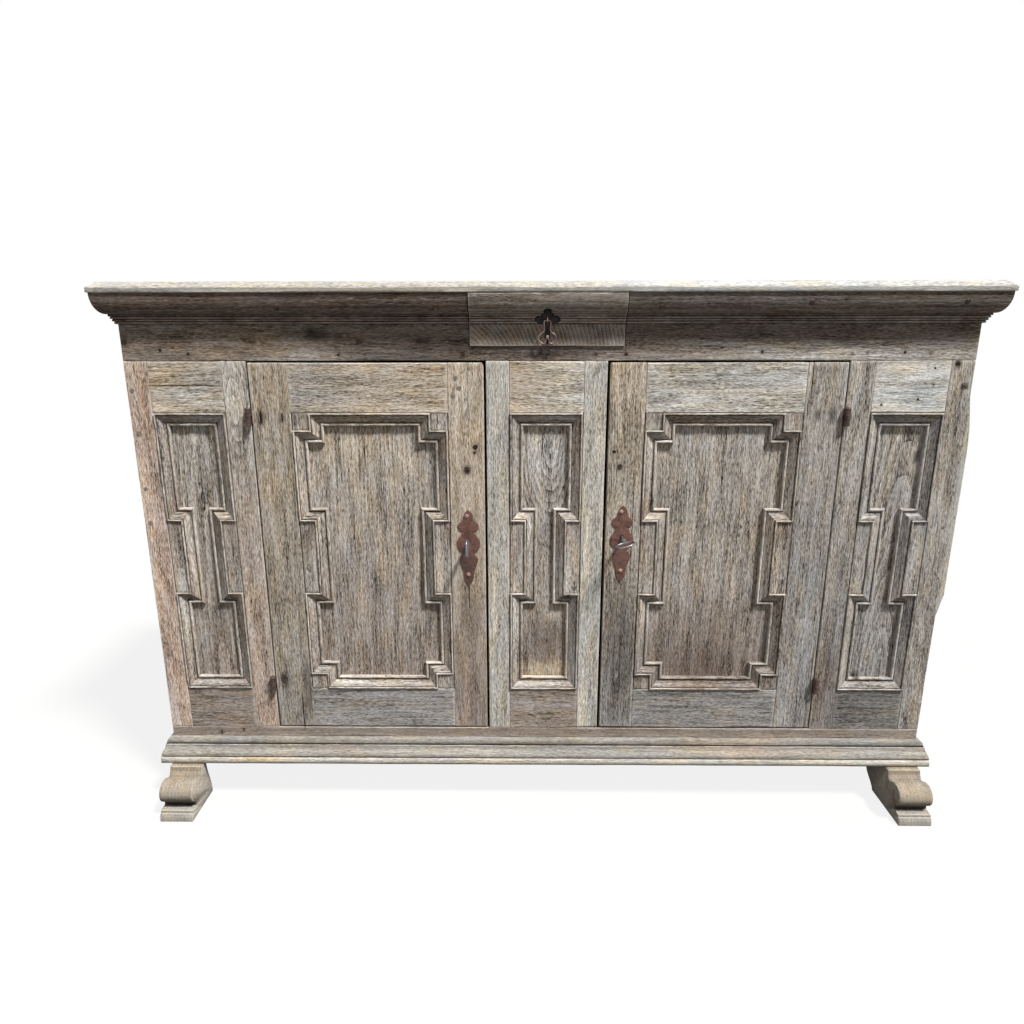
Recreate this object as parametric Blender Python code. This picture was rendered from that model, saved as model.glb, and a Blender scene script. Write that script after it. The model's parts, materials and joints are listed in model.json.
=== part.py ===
"""Bleached oak sideboard: two panelled doors, three fixed bays and a drawer hidden in the cornice.

Metres, +Z up, +X to the viewer's right, front towards -Y. The origin is on the floor, under the
middle of the sideboard's box. Boards are joined as the real ones are: rails have tenons in mortised
stiles, panels sit in grooves, shelves in housings, and doors hang on knuckle hinges.
"""
import math

import bmesh
import bpy
from mathutils import Vector

# Overall layout of the front
BODY_WIDTH = 1.600
BODY_DEPTH = 0.500
POST_WIDTH = 0.044
BAY_OPENING = 0.140
BAY_STILE_WIDTH = 0.048
CENTRE_OPENING = 0.142
CENTRE_STILE_WIDTH = 0.045

# Heights, from the floor up
FOOT_HEIGHT = 0.087
PLINTH_HEIGHT = 0.055
SILL_HEIGHT = 0.022
DOOR_OPENING_HEIGHT = 0.774
FRIEZE_HEIGHT = 0.0675
CORNICE_HEIGHT = 0.055
TOP_THICKNESS = 0.020

# Joinery of the front frame and the doors
FIT = 0.0003
OVERCUT = 0.003
FRAME_THICKNESS = 0.034
DOOR_THICKNESS = 0.030
TOP_RAIL_HEIGHT = 0.098
BOTTOM_RAIL_HEIGHT = 0.092
TENON_THICKNESS = 0.011
TENON_LENGTH = 0.025
TENON_SHOULDER = 0.020
STUB_LENGTH = 0.012
STUB_SHOULDER = 0.008

# Moulded panels, with the blocks that their mouldings step round
PANEL_RECESS = 0.014
PANEL_THICKNESS = 0.008
TONGUE_DEPTH = 0.008
TONGUE_THICKNESS = 0.006
MOULDING_WIDTH = 0.026
MOULDING_PROUD = 0.004
MOULDING_FILLET = 0.0035
MOULDING_QUIRK = 0.003
MOULDING_BEAD = 0.006
BEAD_HEIGHT = 0.003
BEAD_FOOT = 0.005
CORNER_BLOCK = 0.033
DOOR_MID_BLOCK_WIDTH = 0.031
BAY_MID_BLOCK_WIDTH = 0.028
MID_BLOCK_HEIGHT = 0.152

# Doors
HINGE_GAP = 0.0015
CATCH_GAP = 0.0025
DOOR_END_GAP = 0.002
HINGE_STILE_WIDTH = 0.076
LOCK_STILE_WIDTH = 0.070

# Hinges: a barrel of two knuckles in front of the face, on leaves let into the edges
HINGE_FROM_END = 0.105
HINGE_OFFSET = 0.003
KNUCKLE_HEIGHT = 0.017
BARREL_RADIUS = 0.006
PIN_RADIUS = 0.003
PIN_TIP = 0.002
LEAF_DEPTH = 0.022
LEAF_THICKNESS = 0.002
LEAF_TRIM = 0.001

# Locks, keys and escutcheons
LOCK_FROM_EDGE = 0.0345
LEFT_KEYHOLE_RISE = 0.420
RIGHT_KEYHOLE_RISE = 0.429
RIGHT_KEY_TURN = 105.0
KEYHOLE_RADIUS = 0.0045
KEYHOLE_SLOT_WIDTH = 0.004
KEYHOLE_SLOT_DROP = 0.0125
ESCUTCHEON_HEIGHT = 0.159
ESCUTCHEON_WIDTH = 0.046
ESCUTCHEON_THICKNESS = 0.0018
ESCUTCHEON_KEYHOLE_DROP = 0.064
LOCK_CASE_WIDTH = 0.058
LOCK_CASE_DEPTH = 0.016
LOCK_CASE_BELOW = 0.024
LOCK_CASE_ABOVE = 0.042
LOCK_CASE_WALL = 0.002
BOLT_HEIGHT = 0.016
BOLT_THICKNESS = 0.008
BOLT_SETBACK = 0.002
BOLT_TAIL = 0.012
BIT_CLEARANCE = 0.002
SHANK_RADIUS = 0.0032
BIT_RADIUS = 0.011
BIT_LENGTH = 0.007
BIT_THICKNESS = 0.003
KEY_REACH = 0.070
BOW_WIDTH = 0.040
BOW_LENGTH = 0.032
BOW_WIRE = 0.0023

# Drawer in the cornice
DRAWER_WIDTH = 0.292
DRAWER_SILL = 0.027
DRAWER_GAP = 0.001
DRAWER_PROUD = 0.003
DRAWER_FRONT_BACKING = 0.020
DRAWER_BOX_DEPTH = 0.360
DRAWER_BOX_HEIGHT = 0.075
DRAWER_WALL = 0.010
DRAWER_SLIP = 0.002
PLATE_WIDTH = 0.046
PLATE_HEIGHT = 0.064
PLATE_TOP_DROP = 0.028
PLATE_THICKNESS = 0.0015
PLATE_SEAT = 0.0005
EYE_DROP = 0.047
EYE_RADIUS = 0.0055
EYE_WIRE = 0.0015
PULL_WIDTH = 0.036
PULL_DROP = 0.042
PULL_WIRE = 0.0014

# Cornice and top
CORNICE_PROJECTION = 0.031
CORNICE_STEP = 0.0125
CORNICE_OVOLO = 0.0365
CORNICE_FILLET = 0.007
CORNICE_QUIRK = 0.0015
CORNICE_TOE = 0.0015
TOP_OVERHANG = 0.035
TOP_LIP = 0.005
TOP_EDGE_RADIUS = 0.013
TOP_UNDERCUT = 0.0015

# Plinth and feet
PLINTH_PROJECTION = 0.0255
PLINTH_BEAD = 0.011
PLINTH_FILLET = 0.002
PLINTH_CYMA_START = 0.0135
PLINTH_CYMA_END = 0.0215
PLINTH_FASCIA = 0.016
FLOOR_LEDGE = 0.016
FOOT_WIDTH = 0.068
FOOT_TOE = 0.100
FOOT_BACK = 0.025
FOOT_HEEL = 0.006
FOOT_NECKLINE = 0.030
FOOT_FILLET = 0.011
FOOT_FILLET_FLARE = 0.003
FOOT_NOSE = 0.092
FOOT_NOSE_LENGTH = 0.026
FOOT_NOSE_END_ANGLE = -65.0
FOOT_TOE_START_ANGLE = 75.0
FOOT_BASE = 0.024
FOOT_SCOTIA = 0.006
REAR_FOOT_DEPTH = 0.080

# Boards behind the front
SIDE_THICKNESS = 0.022
BACK_THICKNESS = 0.018
BACK_CLEARANCE = 0.013
FLOOR_THICKNESS = 0.020
SHELF_THICKNESS = 0.018
SHELF_RISE = 0.380
SHELF_SETBACK = 0.090
DUST_BOARD_THICKNESS = 0.016
HOUSING_DEPTH = 0.006
GUIDE_WIDTH = 0.012
GUIDE_HEIGHT = 0.020

# Half outlines as shares of the piece's height (down from the top) and half width
ESCUTCHEON_OUTLINE = (
    (0.00, 0.00), (0.04, 0.27), (0.105, 0.42), (0.15, 0.48), (0.21, 0.92), (0.27, 0.55), (0.325, 0.73),
    (0.36, 0.61), (0.445, 1.00), (0.59, 0.59), (0.66, 0.81), (0.75, 0.64), (0.83, 0.43), (0.885, 0.44),
    (0.955, 0.27), (1.00, 0.00),
)
PLATE_OUTLINE = (
    (0.00, 0.00), (0.05, 0.28), (0.15, 0.38), (0.23, 0.30), (0.28, 0.80), (0.37, 1.00), (0.46, 0.78),
    (0.50, 0.30), (0.72, 0.22), (0.88, 0.34), (1.00, 0.00),
)
PULL_OUTLINE = (
    (0.00, 0.00), (0.00, 0.22), (0.06, 0.37), (0.28, 0.34), (0.46, 0.38), (0.60, 0.72), (0.72, 0.98),
    (0.88, 0.94), (0.99, 0.58), (0.93, 0.22), (0.78, 0.00),
)

# Facets of round stretches
ARC_STEPS = 6
ROUND_SIDES = 16
OUTLINE_STEPS = 3

# Finishes from the photograph: linear colour, roughness, metallic
OAK_GREY = ((0.235, 0.190, 0.145), 0.85, 0.0)
OAK_PALE = ((0.420, 0.375, 0.300), 0.85, 0.0)
OAK_TAN = ((0.300, 0.215, 0.145), 0.85, 0.0)
OAK_DARK = ((0.120, 0.092, 0.068), 0.80, 0.0)
OAK_INSIDE = ((0.200, 0.150, 0.100), 0.90, 0.0)
IRON_RUST = ((0.090, 0.042, 0.028), 0.75, 0.6)
IRON_DARK = ((0.035, 0.030, 0.028), 0.55, 0.8)

# Levels and lines worked out from the sizes above
PLINTH_TOP = FOOT_HEIGHT + PLINTH_HEIGHT
SILL_TOP = PLINTH_TOP + SILL_HEIGHT
FRIEZE_BOTTOM = SILL_TOP + DOOR_OPENING_HEIGHT
FRIEZE_TOP = FRIEZE_BOTTOM + FRIEZE_HEIGHT
CORNICE_TOP = FRIEZE_TOP + CORNICE_HEIGHT
TOP = CORNICE_TOP + TOP_THICKNESS
PANEL_BOTTOM = SILL_TOP + BOTTOM_RAIL_HEIGHT
PANEL_TOP = FRIEZE_BOTTOM - TOP_RAIL_HEIGHT
DOOR_BOTTOM = SILL_TOP + DOOR_END_GAP
DOOR_TOP = FRIEZE_BOTTOM - DOOR_END_GAP

FACE = (FOOT_TOE - BODY_DEPTH) / 2
FRAME_BACK = FACE + FRAME_THICKNESS
DOOR_BACK = FACE + DOOR_THICKNESS
BACK = FACE + BODY_DEPTH
BACK_BOARD_FACE = BACK - BACK_THICKNESS

HALF = BODY_WIDTH / 2
POST_INNER = HALF - POST_WIDTH
BAY_INNER = POST_INNER - BAY_OPENING
HINGE_LINE = BAY_INNER - BAY_STILE_WIDTH
CENTRE_HALF = CENTRE_OPENING / 2
CATCH_LINE = CENTRE_HALF + CENTRE_STILE_WIDTH
DOOR_OUTER = HINGE_LINE - HINGE_GAP
DOOR_INNER = CATCH_LINE + CATCH_GAP
DOOR_PANEL_OUTER = DOOR_OUTER - HINGE_STILE_WIDTH
DOOR_PANEL_INNER = DOOR_INNER + LOCK_STILE_WIDTH
KEY_LINE = DOOR_INNER + LOCK_FROM_EDGE
HINGE_AXIS_X = HINGE_LINE - HINGE_GAP / 2 + HINGE_OFFSET
HINGE_AXIS_Y = FACE - BARREL_RADIUS - FIT

SIDE_INNER = HALF - SIDE_THICKNESS
FLOOR_SEAT = SILL_TOP - FLOOR_THICKNESS
SHELF_BOTTOM = SILL_TOP + SHELF_RISE
DRAWER_BOTTOM = FRIEZE_BOTTOM + DRAWER_SILL
DUST_BOARD_BOTTOM = DRAWER_BOTTOM - DUST_BOARD_THICKNESS
DRAWER_BOX_FRONT = FACE + DRAWER_FRONT_BACKING + FIT
PLATE_BACK = FACE - DRAWER_PROUD - PLATE_SEAT
PLATE_TOP = CORNICE_TOP - PLATE_TOP_DROP
EYE_Y = PLATE_BACK - EYE_RADIUS - EYE_WIRE
EYE_Z = CORNICE_TOP - EYE_DROP
PULL_AXIS_Z = EYE_Z - EYE_RADIUS + EYE_WIRE + PULL_WIRE + FIT


# Building blocks


def clear_scene():
    for item in list(bpy.data.objects):
        bpy.data.objects.remove(item, do_unlink=True)


def finish_material(name, finish):
    colour, roughness, metallic = finish
    material = bpy.data.materials.new(name + "_finish")
    material.use_nodes = True
    shader = material.node_tree.nodes["Principled BSDF"]
    shader.inputs["Base Color"].default_value = (*colour, 1.0)
    shader.inputs["Roughness"].default_value = roughness
    shader.inputs["Metallic"].default_value = metallic
    material.diffuse_color = (*colour, 1.0)
    return material


def add_object(name, bm, origin, parent=None):
    """Object whose mesh is measured from its origin, on its parent where it moves."""
    bmesh.ops.recalc_face_normals(bm, faces=bm.faces[:])
    bmesh.ops.translate(bm, vec=-origin, verts=bm.verts[:])
    mesh = bpy.data.meshes.new(name)
    bm.to_mesh(mesh)
    bm.free()
    item = bpy.data.objects.new(name, mesh)
    bpy.context.collection.objects.link(item)
    item.parent = parent
    item.location = origin - parent.location if parent else origin
    return item


def middle_of(bm):
    low = Vector([min(v.co[axis] for v in bm.verts) for axis in range(3)])
    high = Vector([max(v.co[axis] for v in bm.verts) for axis in range(3)])
    return (low + high) / 2


def add_part(name, bm, finish, parent=None):
    item = add_object(name, bm, middle_of(bm), parent)
    item.data.materials.append(finish_material(name, finish))
    return item


def add_joint(name, place):
    """Empty on a joint's axis, which carries the pieces that move about it."""
    joint = bpy.data.objects.new(name, None)
    bpy.context.collection.objects.link(joint)
    joint.location = place
    return joint


def combine(target, bm, operation):
    tool = add_object(f"{target.name}_tool_{len(target.modifiers)}", bm, middle_of(bm))
    tool.hide_render = True
    tool.display_type = "WIRE"
    modifier = target.modifiers.new(tool.name, "BOOLEAN")
    modifier.object = tool
    modifier.operation = operation
    modifier.solver = "EXACT"


def carve(target, *shapes):
    for bm in shapes:
        combine(target, bm, "DIFFERENCE")


def fuse(target, *shapes):
    for bm in shapes:
        combine(target, bm, "UNION")


def smooth(item, angle=40.0):
    item.data.shade_smooth()
    item.data.set_sharp_from_angle(angle=math.radians(angle))


def loft(rings, cyclic=False):
    """Skin over rings of equally many points, capped at both ends unless it runs round."""
    bm = bmesh.new()
    loops = [[bm.verts.new(point) for point in ring] for ring in rings]
    pairs = list(zip(loops, loops[1:]))
    if cyclic:
        pairs.append((loops[-1], loops[0]))
    for near, far in pairs:
        for a0, a1, b0, b1 in zip(near, near[1:] + near[:1], far, far[1:] + far[:1]):
            bm.faces.new((a0, a1, b1, b0))
    if not cyclic:
        bm.faces.new(loops[0])
        bm.faces.new(loops[-1])
    return bm


def prism(outline, axis, start, end):
    """Outline carried straight along an axis; its pairs are the other two coordinates in order."""
    def place(pair, along):
        point = list(pair)
        point.insert(axis, along)
        return point
    return loft([[place(pair, along) for pair in outline] for along in (start, end)])


def box(low, high):
    corners = ((low[0], low[1]), (high[0], low[1]), (high[0], high[1]), (low[0], high[1]))
    return prism(corners, 2, low[2], high[2])


def circle(centre, radius, sides=ROUND_SIDES):
    turns = [2 * math.pi * step / sides for step in range(sides)]
    return [(centre[0] + radius * math.cos(t), centre[1] + radius * math.sin(t)) for t in turns]


def arc(centre, radii, start, end, steps=ARC_STEPS):
    """Points on an ellipse about a centre, from one angle to another in degrees."""
    turns = [math.radians(start + (end - start) * step / steps) for step in range(steps + 1)]
    return [(centre[0] + radii[0] * math.cos(t), centre[1] + radii[1] * math.sin(t)) for t in turns]


def smooth_curve(points, steps=OUTLINE_STEPS):
    """Catmull-Rom curve through points, with the end points kept."""
    padded = [points[0], *points, points[-1]]
    curve = []
    for a, b, c, d in zip(padded, padded[1:], padded[2:], padded[3:]):
        for step in range(steps):
            t = step / steps
            curve.append(tuple(
                q + t / 2 * (r - p + t * (2 * p - 5 * q + 4 * r - s + t * (3 * q - p - 3 * r + s)))
                for p, q, r, s in zip(a, b, c, d)
            ))
    return curve + [points[-1]]


def mirrored_outline(shares, middle, top, width, height):
    """Closed outline, as X and Z, from the shares of one half of it."""
    half = [(share_x * width / 2, top - share_z * height) for share_z, share_x in smooth_curve(shares)]
    right = [(middle + x, z) for x, z in half]
    left = [(middle - x, z) for x, z in reversed(half[1:-1])]
    return right + left


def grown(outline, distance):
    """Clockwise outline moved outwards along the normal of the line between each point's neighbours."""
    moved = []
    for (px, pz), (x, z), (nx, nz) in zip(outline[-1:] + outline, outline, outline[1:] + outline[:1]):
        length = math.hypot(nx - px, nz - pz)
        moved.append((x - distance * (nz - pz) / length, z + distance * (nx - px) / length))
    return moved


# Boards and their joints


def span(side, first, second):
    """The two X values on one side of the middle, lower first."""
    return sorted((side * first, side * second))


def section(axis, along, limits):
    """Rectangle across a board that runs along X or Z: limits across it, then front and back."""
    low, high, front, back = limits
    corners = ((low, front), (high, front), (high, back), (low, back))
    if axis == 0:
        return [(along, y, across) for across, y in corners]
    return [(across, y, along) for across, y in corners]


def tenoned_board(name, low, high, axis, length, shoulder, finish, parent=None):
    """Board with a tenon at both ends, and the two pockets that its neighbours need for them."""
    across = 2 - axis
    front = (low[1] + high[1] - TENON_THICKNESS) / 2
    back = front + TENON_THICKNESS
    body = (low[across], high[across], low[1], high[1])
    tenon = (low[across] + shoulder, high[across] - shoulder, front, back)
    stations = (
        (low[axis] - length, tenon), (low[axis], tenon), (low[axis], body),
        (high[axis], body), (high[axis], tenon), (high[axis] + length, tenon),
    )
    board = add_part(name, loft([section(axis, *station) for station in stations]), finish, parent)
    pocket = (tenon[0] - FIT, tenon[1] + FIT, front - FIT, back + FIT)
    reach = length + FIT
    near = loft([section(axis, along, pocket) for along in (low[axis] - reach, low[axis] + OVERCUT)])
    far = loft([section(axis, along, pocket) for along in (high[axis] - OVERCUT, high[axis] + reach)])
    return board, near, far


def groove(low_x, high_x, low_z, high_z):
    """Slot for a panel's tongue, as deep behind the face on the frame as on the doors."""
    back = FACE + PANEL_RECESS + PANEL_THICKNESS + FIT
    front = back - TONGUE_THICKNESS - 2 * FIT
    return box((low_x, front, low_z), (high_x, back, high_z))


def upright_groove(edge, outward):
    """Groove in an upright's edge at X = edge; outward points from the panel into the upright."""
    low_x, high_x = sorted((edge - outward * OVERCUT, edge + outward * (TONGUE_DEPTH + FIT)))
    return groove(low_x, high_x, PANEL_BOTTOM - TONGUE_DEPTH - FIT, PANEL_TOP + TONGUE_DEPTH + FIT)


def framed_panel(name, low_x, high_x, low_z, high_z, back, mid_block, corner, finish, parent=None):
    """Two tenoned rails and the moulded panel between two uprights, with the uprights' pockets."""
    left_cuts = [upright_groove(low_x, -1)]
    right_cuts = [upright_groove(high_x, 1)]
    for rail, bottom, top, edge, outward in (
        ("top_rail", PANEL_TOP, high_z, PANEL_TOP, 1),
        ("bottom_rail", low_z, PANEL_BOTTOM, PANEL_BOTTOM, -1),
    ):
        board, near, far = tenoned_board(
            f"{name}_{rail}", (low_x + FIT, FACE, bottom), (high_x - FIT, back, top), 0,
            TENON_LENGTH, TENON_SHOULDER, finish, parent,
        )
        slot = sorted((edge - outward * OVERCUT, edge + outward * (TONGUE_DEPTH + FIT)))
        carve(board, groove(low_x - OVERCUT, high_x + OVERCUT, *slot))
        left_cuts.append(near)
        right_cuts.append(far)
    panel = moulded_panel(low_x + FIT, high_x - FIT, PANEL_BOTTOM + FIT, PANEL_TOP - FIT, mid_block, corner)
    add_part(f"{name}_panel", panel, finish, parent)
    return left_cuts, right_cuts


# Moulded panel: the skill of this piece, a moulding that steps round square and oblong blocks


def moulding_profile():
    """Inset and depth behind the face, from the outer edge to the panel's field."""
    cyma_start = MOULDING_FILLET
    bead_start = MOULDING_WIDTH - MOULDING_BEAD
    top = MOULDING_QUIRK - MOULDING_PROUD
    foot = PANEL_RECESS - BEAD_FOOT
    profile = [(0.0, -MOULDING_PROUD), (MOULDING_FILLET, -MOULDING_PROUD)]
    for step in range(ARC_STEPS):
        share = step / (ARC_STEPS - 1)
        fall = (1 - math.cos(math.pi * share)) / 2
        profile.append((cyma_start + (bead_start - cyma_start) * share, top + (foot - top) * fall))
    bead_middle = (bead_start + MOULDING_BEAD / 2, foot)
    profile += arc(bead_middle, (MOULDING_BEAD / 2, -BEAD_HEIGHT), 180, 0)[1:]
    profile.append((MOULDING_WIDTH, PANEL_RECESS))
    return profile


def stepped_outline(x0, x1, z0, z1, mid_block, corner):
    """Outer line of the moulding, anticlockwise, going round corner blocks and mid blocks."""
    low = (z0 + z1 - MID_BLOCK_HEIGHT) / 2
    high = low + MID_BLOCK_HEIGHT
    right = [(x1, low), (x1 - mid_block, low), (x1 - mid_block, high), (x1, high)]
    left = [(x0, high), (x0 + mid_block, high), (x0 + mid_block, low), (x0, low)]
    if not corner:
        return [(x0, z0), (x1, z0), *right, (x1, z1), (x0, z1), *left]
    c = corner
    return [
        (x0, z0 + c), (x0 + c, z0 + c), (x0 + c, z0), (x1 - c, z0), (x1 - c, z0 + c), (x1, z0 + c), *right,
        (x1, z1 - c), (x1 - c, z1 - c), (x1 - c, z1), (x0 + c, z1), (x0 + c, z1 - c), (x0, z1 - c), *left,
    ]


def inset_outline(outline, inset):
    """Square-cornered outline moved inwards: each corner shifts by both of its edges' normals."""
    moved = []
    for (px, pz), (x, z), (nx, nz) in zip(outline[-1:] + outline, outline, outline[1:] + outline[:1]):
        normal_x = 0.0
        normal_z = 0.0
        for dx, dz in ((x - px, z - pz), (nx - x, nz - z)):
            length = math.hypot(dx, dz)
            normal_x -= dz / length
            normal_z += dx / length
        moved.append((x + inset * normal_x, z + inset * normal_z))
    return moved


def moulded_panel(x0, x1, z0, z1, mid_block, corner):
    """Panel with its tongue, the blocks level with the frame and the moulding round the field."""
    bm = bmesh.new()
    known = {}

    def point(x, z, depth):
        key = (round(x, 7), round(z, 7), round(depth, 7))
        if key not in known:
            known[key] = bm.verts.new((x, FACE + depth, z))
        return known[key]

    def face(points):
        bm.faces.new([point(*p) for p in points])

    back = PANEL_RECESS + PANEL_THICKNESS
    ledge = back - TONGUE_THICKNESS
    outline = stepped_outline(x0, x1, z0, z1, mid_block, corner)
    corners = [(x0, z0), (x1, z0), (x1, z1), (x0, z1)]
    t = TONGUE_DEPTH
    tongue = [(x0 - t, z0 - t), (x1 + t, z0 - t), (x1 + t, z1 + t), (x0 - t, z1 + t)]

    # Back face, the tongue's edges, and its front ledge with every point of the rim on it
    face([(x, z, back) for x, z in tongue])
    for side in range(4):
        ends = (tongue[side], tongue[(side + 1) % 4])
        rim = (corners[side], corners[(side + 1) % 4])
        face([(*ends[0], back), (*ends[1], back), (*ends[1], ledge), (*ends[0], ledge)])
        axis = side % 2
        on_rim = {p for p in outline if abs(p[1 - axis] - rim[0][1 - axis]) < FIT} | set(rim)
        ordered = sorted(on_rim, key=lambda p: abs(p[axis] - rim[1][axis]))
        face([(*p, ledge) for p in (*ends, *ordered)])

    # Rim walls where the moulding runs along the edge, and blocks with their steps elsewhere
    def meets(p):
        return p[0] in (x0, x1) or p[1] in (z0, z1)

    def along_rim(p, q):
        return (p[0] == q[0] and p[0] in (x0, x1)) or (p[1] == q[1] and p[1] in (z0, z1))

    edges = list(zip(outline, outline[1:] + outline[:1]))
    runs = []
    for p, q in edges:
        if along_rim(p, q):
            wall = [(*p, ledge), (*q, ledge)]
            wall += [(*q, 0.0)] if q not in corners else []
            wall += [(*q, -MOULDING_PROUD), (*p, -MOULDING_PROUD)]
            wall += [(*p, 0.0)] if p not in corners else []
            face(wall)
        else:
            face([(*p, 0.0), (*q, 0.0), (*q, -MOULDING_PROUD), (*p, -MOULDING_PROUD)])
            if meets(p):
                runs.append([p])
            runs[-1].append(q)
    for run in runs:
        first, last = run[0], run[-1]
        turn = [c for c in corners if (c[0] in (first[0], last[0])) and (c[1] in (first[1], last[1]))]
        outer = [last, *turn, first] if first[0] != last[0] else [last, first]
        face([(*p, 0.0) for p in run + outer[1:-1]])
        for p, q in zip(outer, outer[1:]):
            face([(*p, ledge), (*q, ledge), (*q, 0.0), (*p, 0.0)])

    # The moulding itself, ring inside ring, and the field
    profile = moulding_profile()
    rings = [[(*p, depth) for p in inset_outline(outline, inset)] for inset, depth in profile]
    for outer, inner in zip(rings, rings[1:]):
        for a, b, c, d in zip(outer, outer[1:] + outer[:1], inner[1:] + inner[:1], inner):
            face([a, b, c, d])
    face(rings[-1])
    return bm


# Carcass


def plinth_profile():
    """Outline of the base frame: projection from the body and height."""
    cyma_top = PLINTH_TOP - PLINTH_BEAD - 2 * PLINTH_FILLET
    fascia_top = FOOT_HEIGHT + PLINTH_FASCIA
    profile = [(0.0, SILL_TOP)]
    profile += arc((0.0, PLINTH_TOP - PLINTH_BEAD), (PLINTH_BEAD, PLINTH_BEAD), 90, 0)
    profile += [(PLINTH_BEAD, cyma_top + PLINTH_FILLET), (PLINTH_CYMA_START, cyma_top + PLINTH_FILLET)]
    for step in range(ARC_STEPS + 1):
        share = step / ARC_STEPS
        swell = (1 - math.cos(math.pi * share)) / 2
        height = cyma_top + (fascia_top + PLINTH_FILLET - cyma_top) * share
        profile.append((PLINTH_CYMA_START + (PLINTH_CYMA_END - PLINTH_CYMA_START) * swell, height))
    bottom = FOOT_HEIGHT + FIT
    profile += [(PLINTH_CYMA_END, fascia_top), (PLINTH_PROJECTION, fascia_top), (PLINTH_PROJECTION, bottom)]
    inner = -FRAME_THICKNESS
    profile += [(inner - FLOOR_LEDGE, bottom), (inner - FLOOR_LEDGE, FLOOR_SEAT)]
    profile += [(inner, FLOOR_SEAT), (inner, SILL_TOP)]
    return profile


def make_plinth():
    profile = plinth_profile()
    rings = [[(-HALF - p, BACK, z) for p, z in profile]]
    rings.append([(-HALF - p, FACE - p, z) for p, z in profile])
    rings.append([(HALF + p, FACE - p, z) for p, z in profile])
    rings.append([(HALF + p, BACK, z) for p, z in profile])
    plinth = add_part("plinth", loft(rings), OAK_PALE)
    foot_front = BACK - REAR_FOOT_DEPTH - FIT
    for side in (-1, 1):
        low, high = span(side, HALF + FIT, HALF - FRAME_THICKNESS - FLOOR_LEDGE - OVERCUT)
        carve(plinth, box((low, foot_front, 0.0), (high, BACK + OVERCUT, SILL_TOP + OVERCUT)))
    return plinth


def foot_profile():
    """Side outline of a front foot: distance in front of the face, and height."""
    nose_low = FOOT_BASE + FOOT_SCOTIA
    nose_high = FOOT_HEIGHT - FOOT_FILLET
    nose_start = FOOT_NOSE - FOOT_NOSE_LENGTH
    nose_middle = ((nose_low + nose_high) / 2, (nose_high - nose_low) / 2)
    outline = [(-FOOT_BACK, FOOT_HEIGHT), (FOOT_NECKLINE, FOOT_HEIGHT)]
    outline.append((FOOT_NECKLINE + FOOT_FILLET_FLARE, nose_high))
    nose_radii = (FOOT_NOSE_LENGTH, nose_middle[1])
    outline += arc((nose_start, nose_middle[0]), nose_radii, 90, FOOT_NOSE_END_ANGLE, 2 * ARC_STEPS)
    scotia = outline[-1]
    outline += [(scotia[0], nose_low), (scotia[0] + FOOT_SCOTIA, FOOT_BASE)]
    toe_start = scotia[0] + FOOT_SCOTIA
    outline += arc((toe_start, 0.0), (FOOT_TOE - toe_start, FOOT_BASE), FOOT_TOE_START_ANGLE, 0)
    for step in range(ARC_STEPS):
        share = step / ARC_STEPS
        swing = (1 - math.cos(math.pi * share)) / 2
        outline.append((-FOOT_HEEL - (FOOT_BACK - FOOT_HEEL) * swing, FOOT_HEIGHT * share))
    return [(FACE - forward, height) for forward, height in outline]


def make_front_feet():
    for side, name in ((-1, "left"), (1, "right")):
        low, high = span(side, HALF, HALF - FOOT_WIDTH)
        smooth(add_part(f"{name}_front_foot", prism(foot_profile(), 0, low, high), OAK_PALE))


def cornice_outline(top):
    """Face of the cornice from its foot up to a top level: projection from the body and height."""
    shelf = CORNICE_TOP - CORNICE_OVOLO
    fillet = shelf - CORNICE_FILLET
    quirk = CORNICE_STEP - CORNICE_QUIRK
    lower = arc((CORNICE_TOE, fillet), (quirk - CORNICE_TOE, fillet - FRIEZE_TOP), -90, 0)
    upper = arc((CORNICE_STEP, CORNICE_TOP), (CORNICE_PROJECTION - CORNICE_STEP, CORNICE_OVOLO), -90, 0)
    face = lower + [(quirk, shelf)] + upper
    return [(p, min(z, top)) for p, z in face]


def make_cornice():
    top = CORNICE_TOP - FIT
    profile = [(FIT, FRIEZE_TOP)] + cornice_outline(top) + [(FIT, top)]
    for side, name in ((-1, "left"), (1, "right")):
        outer = [(side * (HALF + p - FIT), FACE - p, z) for p, z in profile]
        inner = [(side * DRAWER_WIDTH / 2, FACE - p, z) for p, z in profile]
        smooth(add_part(f"cornice_front_{name}", loft([outer, inner]), OAK_DARK))
        front = [(side * (HALF + p), FACE - p, z) for p, z in profile]
        rear = [(side * (HALF + p), BACK, z) for p, z in profile]
        smooth(add_part(f"cornice_{name}", loft([front, rear]), OAK_DARK))


def make_top_board():
    edge = [(TOP_UNDERCUT, CORNICE_TOP), (0.0, CORNICE_TOP + TOP_LIP)]
    rise = TOP_THICKNESS - TOP_LIP
    edge += arc((TOP_EDGE_RADIUS, TOP - rise), (TOP_EDGE_RADIUS, rise), 180, 90)[1:]
    rings = []
    for inset, height in edge:
        x = HALF + TOP_OVERHANG - inset
        y = FACE - TOP_OVERHANG + inset
        rings.append([(-x, y, height), (x, y, height), (x, BACK, height), (-x, BACK, height)])
    add_part("top_board", loft(rings), OAK_PALE)


def make_frieze_rail():
    half = DRAWER_WIDTH / 2
    top = CORNICE_TOP - FIT
    outline = [
        (-HALF, FRIEZE_BOTTOM), (HALF, FRIEZE_BOTTOM), (HALF, top), (half, top),
        (half, DRAWER_BOTTOM), (-half, DRAWER_BOTTOM), (-half, top), (-HALF, top),
    ]
    return add_part("frieze_rail", prism(outline, 1, FACE, FRAME_BACK), OAK_DARK)


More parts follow.
